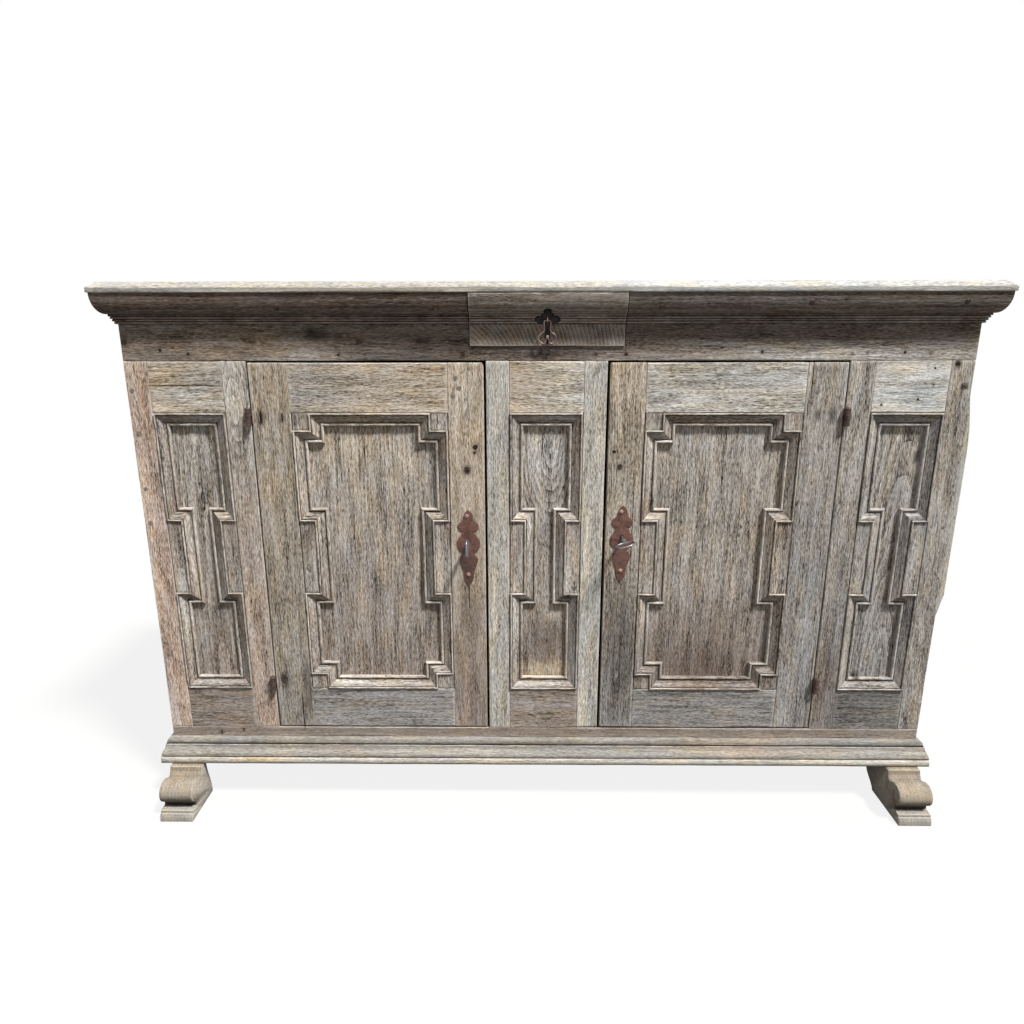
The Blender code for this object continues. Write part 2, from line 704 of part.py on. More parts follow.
def make_uprights(plinth, frieze):
    """Posts and fixed stiles, each with a stub tenon in the plinth and one in the frieze rail."""
    uprights = {}
    for side, hand in ((-1, "left"), (1, "right")):
        for name, first, second, finish in (
            (f"front_{hand}_post", HALF, POST_INNER, OAK_TAN),
            (f"{hand}_bay_stile", BAY_INNER, HINGE_LINE, OAK_TAN),
            (f"centre_{hand}_stile", CATCH_LINE, CENTRE_HALF, OAK_PALE),
        ):
            low, high = span(side, first, second)
            board, foot, head = tenoned_board(
                name, (low, FACE, SILL_TOP + FIT), (high, FRAME_BACK, FRIEZE_BOTTOM - FIT), 2,
                STUB_LENGTH, STUB_SHOULDER, finish,
            )
            carve(plinth, foot)
            carve(frieze, head)
            uprights[name] = board
    return uprights


def make_bays(uprights):
    for name, low, high, left, right in (
        ("left_bay", -POST_INNER, -BAY_INNER, "front_left_post", "left_bay_stile"),
        ("centre_bay", -CENTRE_HALF, CENTRE_HALF, "centre_left_stile", "centre_right_stile"),
        ("right_bay", BAY_INNER, POST_INNER, "right_bay_stile", "front_right_post"),
    ):
        left_cuts, right_cuts = framed_panel(
            name, low, high, SILL_TOP + FIT, FRIEZE_BOTTOM - FIT, FRAME_BACK,
            BAY_MID_BLOCK_WIDTH, 0.0, OAK_GREY,
        )
        carve(uprights[left], *left_cuts)
        carve(uprights[right], *right_cuts)


def make_side_boards():
    """Sides from the plinth to the top; behind the plinth they run down to the floor as rear feet."""
    front = FRAME_BACK + FIT
    foot = BACK - REAR_FOOT_DEPTH
    top = CORNICE_TOP - FIT
    outline = [
        (front, SILL_TOP + FIT), (foot, SILL_TOP + FIT), (foot, 0.0), (BACK, 0.0), (BACK, top), (front, top),
    ]
    for side, name in ((-1, "left"), (1, "right")):
        low, high = span(side, SIDE_INNER, HALF)
        board = add_part(f"{name}_side_board", prism(outline, 0, low, high), OAK_GREY)
        low, high = span(side, SIDE_INNER - OVERCUT, SIDE_INNER + HOUSING_DEPTH)
        for start, bottom, thickness in (
            (FACE + SHELF_SETBACK, SHELF_BOTTOM, SHELF_THICKNESS),
            (front - OVERCUT, DUST_BOARD_BOTTOM, DUST_BOARD_THICKNESS),
        ):
            housing_low = (low, start - FIT, bottom - FIT)
            carve(board, box(housing_low, (high, BACK_BOARD_FACE, bottom + thickness + FIT)))


def make_inner_boards():
    reach = SIDE_INNER + HOUSING_DEPTH - FIT
    rear = BACK_BOARD_FACE - FIT
    back_half = SIDE_INNER - FIT
    back_low = (-back_half, BACK_BOARD_FACE, FOOT_HEIGHT + BACK_CLEARANCE)
    add_part("back_boards", box(back_low, (back_half, BACK, CORNICE_TOP - FIT)), OAK_INSIDE)
    floor_half = HALF - FRAME_THICKNESS - FIT
    floor_low = (-floor_half, FRAME_BACK + FIT, FLOOR_SEAT + FIT)
    add_part("floor_boards", box(floor_low, (floor_half, rear, SILL_TOP)), OAK_INSIDE)
    shelf_low = (-reach, FACE + SHELF_SETBACK, SHELF_BOTTOM)
    add_part("shelf", box(shelf_low, (reach, rear, SHELF_BOTTOM + SHELF_THICKNESS)), OAK_INSIDE)
    inner = DRAWER_WIDTH / 2
    outer = inner + GUIDE_WIDTH
    low, top, guide = DUST_BOARD_BOTTOM, DRAWER_BOTTOM, DRAWER_BOTTOM + GUIDE_HEIGHT
    outline = [
        (-reach, low), (reach, low), (reach, top), (outer, top), (outer, guide), (inner, guide),
        (inner, top), (-inner, top), (-inner, guide), (-outer, guide), (-outer, top), (-reach, top),
    ]
    add_part("dust_board", prism(outline, 1, FRAME_BACK + FIT, rear), OAK_INSIDE)


# Hinges


def hinge_shapes(side, bottom, top, edge, inward):
    """Barrel and leaf of one hinge half; the leaf lies in the edge at X = edge."""
    axis_x = side * HINGE_AXIS_X
    barrel = prism(circle((axis_x, HINGE_AXIS_Y), BARREL_RADIUS), 2, bottom, top)
    near, far = sorted((edge + inward * FIT, edge + inward * LEAF_THICKNESS))
    leaf = box((near, HINGE_AXIS_Y, bottom + LEAF_TRIM), (far, FACE + LEAF_DEPTH, top - LEAF_TRIM))
    return barrel, leaf


def leaf_recess(edge, inward, bottom, top):
    low, high = sorted((edge - inward * OVERCUT, edge + inward * (LEAF_THICKNESS + FIT)))
    rear = FACE + LEAF_DEPTH + FIT
    return box((low, FACE - OVERCUT, bottom + LEAF_TRIM - FIT), (high, rear, top - LEAF_TRIM + FIT))


def make_hinges(side, hand, hinge_stile, bay_stile, joint):
    axis = (side * HINGE_AXIS_X, HINGE_AXIS_Y)
    for level, middle in (
        ("upper", FRIEZE_BOTTOM - HINGE_FROM_END),
        ("lower", SILL_TOP + HINGE_FROM_END),
    ):
        bottom = middle - KNUCKLE_HEIGHT
        frame_edge = side * HINGE_LINE
        barrel, leaf = hinge_shapes(side, bottom, middle, frame_edge, side)
        pintle = add_part(f"{hand}_{level}_pintle", barrel, IRON_RUST)
        pin_top = middle + KNUCKLE_HEIGHT + PIN_TIP
        fuse(pintle, leaf, prism(circle(axis, PIN_RADIUS), 2, middle - LEAF_TRIM, pin_top))
        carve(bay_stile, leaf_recess(frame_edge, side, bottom, middle))
        top = middle + KNUCKLE_HEIGHT
        door_edge = side * DOOR_OUTER
        barrel, leaf = hinge_shapes(side, middle + FIT, top, door_edge, -side)
        knuckle = add_part(f"{hand}_door_{level}_knuckle", barrel, IRON_RUST, joint)
        fuse(knuckle, leaf)
        carve(knuckle, prism(circle(axis, PIN_RADIUS + FIT), 2, middle - OVERCUT, top + OVERCUT))
        carve(hinge_stile, leaf_recess(door_edge, -side, middle + FIT, top))
        smooth(pintle)
        smooth(knuckle)


# Locks and keys


def keyhole(x, z, front, back):
    """Round hole with a slot below it, as two cutters."""
    slot = KEYHOLE_SLOT_WIDTH / 2
    hole = prism(circle((x, z), KEYHOLE_RADIUS), 1, front, back)
    return hole, box((x - slot, front, z - KEYHOLE_SLOT_DROP), (x + slot, back, z))


def key_solids(x, z, turn):
    """Shank, bow and bit of a key on the line X = x, Z = z, turned about that line."""
    tip = DOOR_BACK + LOCK_CASE_DEPTH - LOCK_CASE_WALL
    bow_middle = FACE - KEY_REACH + BOW_LENGTH / 2
    across = BOW_WIDTH / 2 - BOW_WIRE
    along = BOW_LENGTH / 2 - BOW_WIRE
    shank = prism(circle((x, z), SHANK_RADIUS), 1, bow_middle + along, tip)
    rings = []
    for step in range(2 * ROUND_SIDES):
        t = 2 * math.pi * (step + 0.5) / (2 * ROUND_SIDES)
        middle = Vector((x, bow_middle + along * math.cos(t), z + across * math.sin(t)))
        outward = Vector((0.0, math.cos(t) / along, math.sin(t) / across)).normalized()
        tube = circle((0.0, 0.0), BOW_WIRE, ROUND_SIDES // 2)
        rings.append([middle + outward * a + Vector((b, 0.0, 0.0)) for a, b in tube])
    bow = loft(rings, cyclic=True)
    half = BIT_THICKNESS / 2
    bit_back = tip - BIT_CLEARANCE
    bit = box((x - half, bit_back - BIT_LENGTH, z - BIT_RADIUS), (x + half, bit_back, z))
    for bm in (shank, bow, bit):
        turned = Vector((x, 0.0, z))
        for vertex in bm.verts:
            offset = vertex.co - turned
            c, s = math.cos(turn), math.sin(turn)
            vertex.co = turned + Vector((c * offset.x - s * offset.z, offset.y, s * offset.x + c * offset.z))
    return shank, bow, bit


def make_lock(side, hand, rise, turn, lock_stile, door_joint):
    x = side * KEY_LINE
    z = SILL_TOP + rise
    plate_front = FACE - FIT - ESCUTCHEON_THICKNESS
    outline = mirrored_outline(
        ESCUTCHEON_OUTLINE, x, z + ESCUTCHEON_KEYHOLE_DROP, ESCUTCHEON_WIDTH, ESCUTCHEON_HEIGHT,
    )
    plate = prism(outline, 1, plate_front, FACE - FIT)
    escutcheon = add_part(f"{hand}_escutcheon", plate, IRON_RUST, door_joint)
    carve(escutcheon, *keyhole(x, z, plate_front - OVERCUT, FACE))
    carve(lock_stile, *keyhole(x, z, FACE - OVERCUT, DOOR_BACK + OVERCUT))

    front = DOOR_BACK + FIT
    back = DOOR_BACK + LOCK_CASE_DEPTH
    half = LOCK_CASE_WIDTH / 2
    low = Vector((x - half, front, z - LOCK_CASE_BELOW))
    high = Vector((x + half, back, z + LOCK_CASE_ABOVE))
    wall = Vector((LOCK_CASE_WALL, 0.0, LOCK_CASE_WALL))
    case = add_part(f"{hand}_lock_case", box(low, high), IRON_DARK, door_joint)
    hollow_back = back - LOCK_CASE_WALL
    hollow_low = low + wall
    hollow_low.y = front - OVERCUT
    hollow_high = high - wall
    hollow_high.y = hollow_back
    carve(case, box(hollow_low, hollow_high))

    bolt_back = hollow_back - FIT
    bolt_front = bolt_back - BOLT_THICKNESS
    bolt_low = z + BIT_RADIUS + BIT_CLEARANCE
    bolt_high = bolt_low + BOLT_HEIGHT
    head = side * (DOOR_INNER + BOLT_SETBACK)
    tail = x + side * BOLT_TAIL
    near, far = sorted((head, tail))
    bolt_joint = add_joint(f"{hand}_bolt_slide", Vector((head, bolt_front, bolt_low)))
    bolt = box((near, bolt_front, bolt_low), (far, bolt_back, bolt_high))
    add_part(f"{hand}_bolt", bolt, IRON_DARK, bolt_joint)
    near, far = sorted((head, x - side * (half - LOCK_CASE_WALL - OVERCUT)))
    carve(case, box((near, bolt_front - FIT, bolt_low - FIT), (far, hollow_back - FIT / 2, bolt_high + FIT)))

    key_joint = add_joint(f"{hand}_key_turn", Vector((x, FACE, z)))
    shank, bow, bit = key_solids(x, z, turn)
    key = add_part(f"{hand}_key", shank, IRON_DARK, key_joint)
    fuse(key, bow, bit)
    smooth(key)


def make_door(side, hand, rise, turn, bay_stile):
    joint = add_joint(f"{hand}_door_swing", Vector((side * HINGE_AXIS_X, HINGE_AXIS_Y, SILL_TOP)))
    stiles = {}
    for name, first, second in (
        ("hinge_stile", DOOR_OUTER, DOOR_PANEL_OUTER),
        ("lock_stile", DOOR_PANEL_INNER, DOOR_INNER),
    ):
        low, high = span(side, first, second)
        board = box((low, FACE, DOOR_BOTTOM), (high, DOOR_BACK, DOOR_TOP))
        stiles[name] = add_part(f"{hand}_door_{name}", board, OAK_TAN, joint)
    low, high = span(side, DOOR_PANEL_OUTER, DOOR_PANEL_INNER)
    left_cuts, right_cuts = framed_panel(
        f"{hand}_door", low, high, DOOR_BOTTOM, DOOR_TOP, DOOR_BACK,
        DOOR_MID_BLOCK_WIDTH, CORNER_BLOCK, OAK_GREY, joint,
    )
    order = ("hinge_stile", "lock_stile") if side < 0 else ("lock_stile", "hinge_stile")
    carve(stiles[order[0]], *left_cuts)
    carve(stiles[order[1]], *right_cuts)
    make_hinges(side, hand, stiles["hinge_stile"], bay_stile, joint)
    make_lock(side, hand, rise, turn, stiles["lock_stile"], joint)


# Drawer


def make_drawer():
    joint = add_joint("drawer_slide", Vector((0.0, FACE, DRAWER_BOTTOM)))
    half = DRAWER_WIDTH / 2 - DRAWER_GAP
    bottom = DRAWER_BOTTOM + FIT
    top = CORNICE_TOP - DRAWER_GAP
    rear = FACE + DRAWER_FRONT_BACKING
    face = FACE - DRAWER_PROUD
    outline = [(rear, bottom), (face, bottom), (face, FRIEZE_TOP)]
    outline += [(face - p, z) for p, z in cornice_outline(top)] + [(rear, top)]
    front = add_part("drawer_front", prism(outline, 0, -half, half), OAK_DARK, joint)
    recess = grown(mirrored_outline(PLATE_OUTLINE, 0.0, PLATE_TOP, PLATE_WIDTH, PLATE_HEIGHT), 2 * FIT)
    deepest = FACE - DRAWER_PROUD - CORNICE_PROJECTION - OVERCUT
    carve(front, prism(recess, 1, deepest, PLATE_BACK + FIT))

    half -= DRAWER_SLIP
    box_rear = DRAWER_BOX_FRONT + DRAWER_BOX_DEPTH
    tray = box((-half, DRAWER_BOX_FRONT, bottom), (half, box_rear, DRAWER_BOTTOM + DRAWER_BOX_HEIGHT))
    drawer_box = add_part("drawer_box", tray, OAK_INSIDE, joint)
    inner = half - DRAWER_WALL
    hollow_top = DRAWER_BOTTOM + DRAWER_BOX_HEIGHT + OVERCUT
    hollow_low = (-inner, DRAWER_BOX_FRONT - OVERCUT, bottom + DRAWER_WALL)
    carve(drawer_box, box(hollow_low, (inner, box_rear - DRAWER_WALL, hollow_top)))
    make_drawer_fittings(joint)


def make_drawer_fittings(joint):
    outline = mirrored_outline(PLATE_OUTLINE, 0.0, PLATE_TOP, PLATE_WIDTH, PLATE_HEIGHT)
    sheet = prism(outline, 1, PLATE_BACK - PLATE_THICKNESS, PLATE_BACK)
    plate = add_part("drawer_plate", sheet, IRON_DARK, joint)
    rings = []
    for step in range(ROUND_SIDES):
        t = 2 * math.pi * step / ROUND_SIDES
        outward = Vector((0.0, math.cos(t), math.sin(t)))
        middle = Vector((0.0, EYE_Y, EYE_Z)) + outward * EYE_RADIUS
        tube = circle((0.0, 0.0), EYE_WIRE, ROUND_SIDES // 2)
        rings.append([middle + outward * a + Vector((b, 0.0, 0.0)) for a, b in tube])
    fuse(plate, loft(rings, cyclic=True))
    smooth(plate)

    axis = Vector((0.0, EYE_Y, PULL_AXIS_Z))
    pull_joint = add_joint("drawer_pull_swing", axis)
    route = mirrored_outline(PULL_OUTLINE, 0.0, 0.0, PULL_WIDTH - 2 * PULL_WIRE, PULL_DROP)
    curve = bpy.data.curves.new("drawer_pull", "CURVE")
    curve.dimensions = "3D"
    curve.bevel_depth = PULL_WIRE
    curve.bevel_resolution = 1
    spline = curve.splines.new("POLY")
    spline.points.add(len(route) - 1)
    for point, (x, z) in zip(spline.points, route):
        point.co = (x, 0.0, z, 1.0)
    spline.use_cyclic_u = True
    curve.materials.append(finish_material("drawer_pull", IRON_DARK))
    pull = bpy.data.objects.new("drawer_pull", curve)
    bpy.context.collection.objects.link(pull)
    pull.parent = pull_joint


def main():
    clear_scene()
    plinth = make_plinth()
    frieze = make_frieze_rail()
    uprights = make_uprights(plinth, frieze)
    make_front_feet()
    make_cornice()
    make_top_board()
    make_bays(uprights)
    make_side_boards()
    make_inner_boards()
    make_door(-1, "left", LEFT_KEYHOLE_RISE, 0.0, uprights["left_bay_stile"])
    make_door(1, "right", RIGHT_KEYHOLE_RISE, math.radians(RIGHT_KEY_TURN), uprights["right_bay_stile"])
    make_drawer()


main()
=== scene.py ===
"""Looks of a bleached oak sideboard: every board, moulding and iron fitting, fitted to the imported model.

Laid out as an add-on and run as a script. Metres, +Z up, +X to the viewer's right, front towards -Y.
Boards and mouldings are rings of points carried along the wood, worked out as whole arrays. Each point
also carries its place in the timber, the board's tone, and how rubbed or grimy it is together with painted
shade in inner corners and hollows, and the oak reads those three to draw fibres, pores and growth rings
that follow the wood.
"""
import json
import math
import zlib
from dataclasses import dataclass

import bpy
import numpy as np
from bpy.props import FloatProperty, FloatVectorProperty, PointerProperty
from mathutils import Matrix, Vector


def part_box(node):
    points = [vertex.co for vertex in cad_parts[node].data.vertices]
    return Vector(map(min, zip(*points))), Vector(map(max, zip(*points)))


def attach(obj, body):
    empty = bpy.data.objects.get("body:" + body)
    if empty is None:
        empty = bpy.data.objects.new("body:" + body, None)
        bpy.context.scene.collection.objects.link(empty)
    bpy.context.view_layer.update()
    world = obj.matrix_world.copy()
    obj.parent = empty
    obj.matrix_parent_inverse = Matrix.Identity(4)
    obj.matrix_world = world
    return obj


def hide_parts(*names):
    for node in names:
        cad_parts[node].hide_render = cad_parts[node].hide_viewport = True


bl_info = {
    "name": "Bleached oak sideboard",
    "version": (1, 0, 0),
    "blender": (4, 5, 0),
    "location": "3D View > Sidebar > Sideboard",
    "description": "Worn oak boards, stepped mouldings and rusted iron around a packed sideboard",
    "category": "Object",
}

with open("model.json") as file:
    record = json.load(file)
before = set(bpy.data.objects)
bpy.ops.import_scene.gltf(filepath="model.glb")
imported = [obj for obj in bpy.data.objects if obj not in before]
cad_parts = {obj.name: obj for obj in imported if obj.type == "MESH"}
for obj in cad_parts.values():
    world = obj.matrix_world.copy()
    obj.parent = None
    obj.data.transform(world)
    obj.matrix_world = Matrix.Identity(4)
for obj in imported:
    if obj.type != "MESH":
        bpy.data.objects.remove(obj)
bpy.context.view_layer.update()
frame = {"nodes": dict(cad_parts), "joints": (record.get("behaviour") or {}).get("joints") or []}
BOX = {node: [np.array(corner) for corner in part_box(node)] for node in frame["nodes"]}
PLACE = {joint["name"]: joint.get("pos_m") for joint in frame["joints"]}

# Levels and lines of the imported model
FACE = BOX["front_left_post"][0][1]
FRAME_BACK = BOX["front_left_post"][1][1]
BACK = BOX["top_board"][1][1]
HALF = BOX["front_right_post"][1][0]
SILL_TOP = BOX["floor_boards"][1][2]
FRIEZE_BOTTOM = BOX["frieze_rail"][0][2]
FRIEZE_TOP = BOX["cornice_left"][0][2]
CORNICE_TOP = BOX["top_board"][0][2]
TOP = BOX["top_board"][1][2]
FOOT_HEIGHT = BOX["left_front_foot"][1][2]
PLINTH_BOTTOM = BOX["plinth"][0][2]
CORNICE_PROJECTION = -HALF - BOX["cornice_left"][0][0]
PLINTH_PROJECTION = -HALF - BOX["plinth"][0][0]
OVERHANG = BOX["top_board"][1][0]
DRAWER_HALF = BOX["cornice_front_right"][0][0]
DRAWER_SILL = BOX["dust_board"][0][2] + 0.016

X_AXIS, Y_AXIS, Z_AXIS = np.eye(3)

# Columns round a board's section: front, one edge, back, other edge
FRONT_COLUMNS = (20, 2, 4, 2)
PLANK_COLUMNS = (8, 2, 8, 2)
BLOCK_COLUMNS = (9, 2, 1, 2)
ARC_STEPS = 3
CORNICE_BEADS = 3
ROUND_SIDES = 20

# Worn edges that leave dark gaps beside the doors: node, and what goes from its left and right edge
SHAVED = {
    "left_bay_stile": (0.0, 0.0004),
    "left_door_hinge_stile": (0.0009, 0.0),
    "left_door_lock_stile": (0.0, 0.0008),
    "centre_left_stile": (0.0008, 0.0),
    "centre_right_stile": (0.0, 0.0014),
    "right_door_lock_stile": (0.0014, 0.0),
    "right_door_hinge_stile": (0.0, 0.0008),
}
# Worn away under and above the doors
DOOR_LIFT = 0.0008
DOOR_DROP = 0.0014

# Rear of each front foot: how far its heel and its top are behind the face, and the share of its height that
# it sweeps
FOOT_REARS = {"left": (0.006, -0.010, 1.0), "right": (0.020, 0.058, 0.42)}
# Level of the groove's floor under a front foot's roll, and depth of the rear feet
FOOT_GROOVE = 0.0232
REAR_FOOT = 0.080

# Panelled sections: name, upright on each side, body, whether its corners have blocks
SECTIONS = (
    ("left_bay", "front_left_post", "left_bay_stile", "carcass", False),
    ("left_door", "left_door_hinge_stile", "left_door_lock_stile", "left_door", True),
    ("centre_bay", "centre_left_stile", "centre_right_stile", "carcass", False),
    ("right_door", "right_door_lock_stile", "right_door_hinge_stile", "right_door", True),
    ("right_bay", "right_bay_stile", "front_right_post", "carcass", False),
)

# Tones of a board's two ends, bottom or left first, and its lightness
BOARD_TONES = {
    "front_left_post": ("tan", "tan", 1.10),
    "left_bay_stile": ("tan", "grey", 0.97),
    "left_door_hinge_stile": ("grey", "straw", 0.80),
    "left_door_lock_stile": ("umber", "straw", 1.20),
    "centre_left_stile": ("bleached", "bleached", 0.90),
    "centre_right_stile": ("bleached", "bleached", 0.95),
    "right_door_lock_stile": ("slate", "straw", 0.96),
    "right_door_hinge_stile": ("slate", "grey", 1.0),
    "right_bay_stile": ("slate", "grey", 0.95),
    "front_right_post": ("grey", "grey", 0.88),
    "left_bay_top_rail": ("straw", "grey", 1.0),
    "left_bay_bottom_rail": ("umber", "umber", 0.95),
    "left_bay_panel": ("umber", "grey", 1.02),
    "left_door_top_rail": ("grey", "straw", 1.0),
    "left_door_bottom_rail": ("slate", "slate", 1.1),
    "left_door_panel": ("umber", "grey", 1.10),
    "centre_bay_top_rail": ("straw", "bleached", 1.0),
    "centre_bay_bottom_rail": ("umber", "umber", 1.1),
    "centre_bay_panel": ("umber", "grey", 1.05),
    "right_door_top_rail": ("bleached", "bleached", 0.90),
    "right_door_bottom_rail": ("slate", "slate", 0.95),
    "right_door_panel": ("umber", "grey", 1.05),
    "right_bay_top_rail": ("bleached", "bleached", 1.08),
    "right_bay_bottom_rail": ("slate", "slate", 0.62),
    "right_bay_panel": ("slate", "grey", 0.95),
    "frieze_rail": ("umber", "umber", 0.74),
    "cornice": ("dark", "dark", 1.0),
    "cornice_front_right": ("umber", "umber", 0.60),
    "drawer_front": ("umber", "umber", 0.82),
    "top_board": ("bleached", "bleached", 0.86),
    "plinth": ("bleached", "bleached", 0.63),
    "sill": ("umber", "umber", 1.0),
    "feet": ("bleached", "straw", 0.58),
    "side": ("umber", "grey", 1.0),
    "inside": ("inside", "inside", 1.0),
}

# Pith of boards whose figure shows: its offset across, depth behind the face, lean and sink along the board
PITH = {
    "centre_bay_panel": (-0.010, -0.076, 0.0, 0.33),
    "left_bay_stile": (0.005, -0.075, 0.0, 0.25),
}

# How strongly the fibres show on boards that differ from the rest
FIGURE = {
    "left_door_lock_stile": 0.80, "centre_left_stile": 0.85, "centre_right_stile": 0.80,
    "right_door_lock_stile": 1.05,
    "right_bay_top_rail": 0.75, "centre_bay_top_rail": 0.9, "frieze_rail": 0.9, "right_bay_stile": 1.15,
}

# How strongly growth rings show on boards whose figure is wild, and the level that they fade below
RINGS = {
    "centre_bay_panel": (1.9, 0.66), "left_bay_stile": (1.9, 0.78), "right_bay_panel": (1.6, 0.0),
    "left_bay_panel": (1.5, 0.0),
}

# Patches of another tone: X, Z, half width, half height, tone, share
TINTS = {
    "centre_bay_panel": ((0.000, 0.298, 0.042, 0.018, "honey", 1.0),
                         (0.020, 0.425, 0.014, 0.020, "honey", 0.5),
                         (0.005, 0.590, 0.012, 0.040, "slate", 0.5),
                         (0.004, 0.760, 0.030, 0.060, "silver", 0.45),
                         (0.000, 0.360, 0.040, 0.060, "dark", 0.65)),
    "left_bay_top_rail": (
        (-0.735, 0.914, 0.022, 0.010, "honey", 0.7), (-0.680, 0.872, 0.050, 0.014, "silver", 0.5),
    ),
    "left_door_panel": ((-0.352, 0.655, 0.014, 0.045, "honey", 0.45),
                        (-0.375, 0.780, 0.060, 0.040, "straw", 0.9),
                        (-0.360, 0.780, 0.120, 0.070, "straw", 0.45),
                        (-0.330, 0.560, 0.018, 0.050, "straw", 0.5)),
    "right_bay_panel": ((0.680, 0.806, 0.007, 0.012, "bleached", 0.8),
                        (0.693, 0.780, 0.006, 0.022, "bleached", 0.8),
                        (0.715, 0.806, 0.008, 0.010, "bleached", 0.6),
                        (0.700, 0.720, 0.016, 0.060, "slate", 0.6)),
    "front_left_post": ((-0.785, 0.915, 0.030, 0.030, "honey", 0.25),),
    "plinth": ((-0.612, 0.101, 0.050, 0.005, "honey", 0.7), (0.440, 0.125, 0.140, 0.014, "tan", 0.5),
               (-0.430, 0.125, 0.100, 0.014, "tan", 0.4)),
    "frieze_rail": ((-0.060, 0.965, 0.330, 0.035, "dark", 1.0),
                    (-0.480, 0.948, 0.100, 0.008, "bleached", 0.45),
                    (-0.620, 0.965, 0.210, 0.030, "inside", 0.78),
                    (0.560, 0.948, 0.300, 0.018, "bleached", 0.62),
                    (-0.640, 0.980, 0.130, 0.016, "straw", 0.35),
                    # painted shadow under the cornice along the top of the frieze's right half
                    (0.480, 0.990, 0.360, 0.014, "grime_and_shade", 0.35)),
    "right_door_panel": (
        (0.335, 0.300, 0.170, 0.095, "dark", 0.90), (0.335, 0.600, 0.120, 0.090, "bleached", 0.15),
    ),
    "left_door_lock_stile": (
        (-0.155, 0.290, 0.050, 0.130, "dark", 0.35), (-0.155, 0.860, 0.040, 0.080, "bleached", 0.30),
    ),
    "left_bay_stile": ((-0.595, 0.880, 0.040, 0.070, "bleached", 0.60),),
    "centre_right_stile": ((0.110, 0.430, 0.030, 0.060, "silver", 0.3),),
    "right_bay_stile": (
        (0.580, 0.860, 0.030, 0.120, "grey", 0.5), (0.590, 0.270, 0.050, 0.150, "dark", 0.68),
    ),
    "right_bay_top_rail": ((0.690, 0.872, 0.080, 0.030, "silver", 0.9),),
    "left_door_bottom_rail": ((-0.360, 0.215, 0.120, 0.030, "dark", 0.10),),
    "right_door_hinge_stile": ((0.540, 0.480, 0.050, 0.120, "slate", 0.5),),
    "top_board": ((0.450, 1.070, 0.420, 0.030, "silver", 0.6),),
}

# Stains, below zero, and bleached patches, above it: X, Z, half width, half height, strength
MARKS = {
    "left_door_hinge_stile": ((-0.548, 0.832, 0.007, 0.020, -0.9), (-0.507, 0.831, 0.006, 0.012, -0.6),
                              (-0.546, 0.277, 0.012, 0.020, -0.7), (-0.497, 0.262, 0.010, 0.060, -0.6),
                              (-0.505, 0.205, 0.014, 0.030, -0.4)),
    "left_door_lock_stile": ((-0.154, 0.729, 0.009, 0.012, -0.8), (-0.150, 0.430, 0.022, 0.070, -0.35),
                             (-0.153, 0.578, 0.007, 0.014, -1.0)),
    "right_door_lock_stile": ((0.144, 0.735, 0.010, 0.012, -0.5), (0.155, 0.350, 0.034, 0.160, -0.60),
                              (0.153, 0.587, 0.007, 0.014, -1.0)),
    "right_door_hinge_stile": ((0.517, 0.836, 0.007, 0.012, -0.8), (0.545, 0.836, 0.008, 0.018, -0.8),
                               (0.503, 0.900, 0.004, 0.045, -0.6)),
    "right_bay_panel": ((0.722, 0.752, 0.0045, 0.015, -1.2), (0.656, 0.286, 0.008, 0.010, -1.0)),
    "front_right_post": ((0.767, 0.934, 0.007, 0.010, -1.5),),
    "centre_bay_panel": ((0.000, 0.296, 0.034, 0.014, 0.45), (0.022, 0.420, 0.012, 0.020, 0.5)),
    "frieze_rail": ((-0.430, 0.986, 0.028, 0.012, -0.95), (-0.444, 0.989, 0.012, 0.006, -0.5),
                    (-0.390, 0.981, 0.010, 0.007, -0.7), (-0.372, 0.988, 0.007, 0.005, -0.8),
                    (-0.480, 0.993, 0.016, 0.004, -0.6), (-0.507, 0.989, 0.008, 0.004, -0.6),
                    (-0.352, 0.975, 0.007, 0.005, -0.8), (-0.395, 0.962, 0.006, 0.004, -0.8),
                    (-0.680, 0.968, 0.014, 0.006, -0.5), (-0.610, 0.966, 0.020, 0.006, -0.4),
                    (-0.560, 0.972, 0.012, 0.005, -0.5), (-0.280, 0.960, 0.110, 0.040, -0.30),
                    (-0.230, 0.973, 0.016, 0.006, -0.8), (0.000, 0.948, 0.030, 0.008, -0.6),
                    (-0.180, 0.950, 0.260, 0.018, -0.14), (-0.640, 0.950, 0.150, 0.018, -0.14)),
}

# Knots in the front boards: X, Z, half width, half height
LEFT_DOOR_KNOTS = ((-0.548, 0.277, 0.0075, 0.0110), (-0.154, 0.729, 0.0050, 0.0065))
RIGHT_DOOR_KNOTS = ((0.144, 0.735, 0.0055, 0.0060),)

# Cracks and open joints on the front, drawn as thin dark slivers: X, Z, half width, half height
FRAME_CRACKS = (
    (-0.690, 0.893, 0.070, 0.0007), (-0.694, 0.151, 0.0008, 0.008), (-0.646, 0.157, 0.0008, 0.006),
    (0.560, 0.300, 0.0007, 0.060), (0.440, 0.170, 0.050, 0.0008), (0.120, 0.168, 0.070, 0.0007),
)
LEFT_DOOR_CRACKS = ((-0.153, 0.465, 0.0007, 0.030), (-0.352, 0.760, 0.0006, 0.030),
                    (-0.513, 0.200, 0.0010, 0.045),
                    (-0.548, 0.832, 0.0022, 0.013), (-0.507, 0.831, 0.0011, 0.009))
RIGHT_DOOR_CRACKS = (
    (0.173, 0.620, 0.0007, 0.110), (0.500, 0.902, 0.0009, 0.037), (0.496, 0.850, 0.0007, 0.018),
)

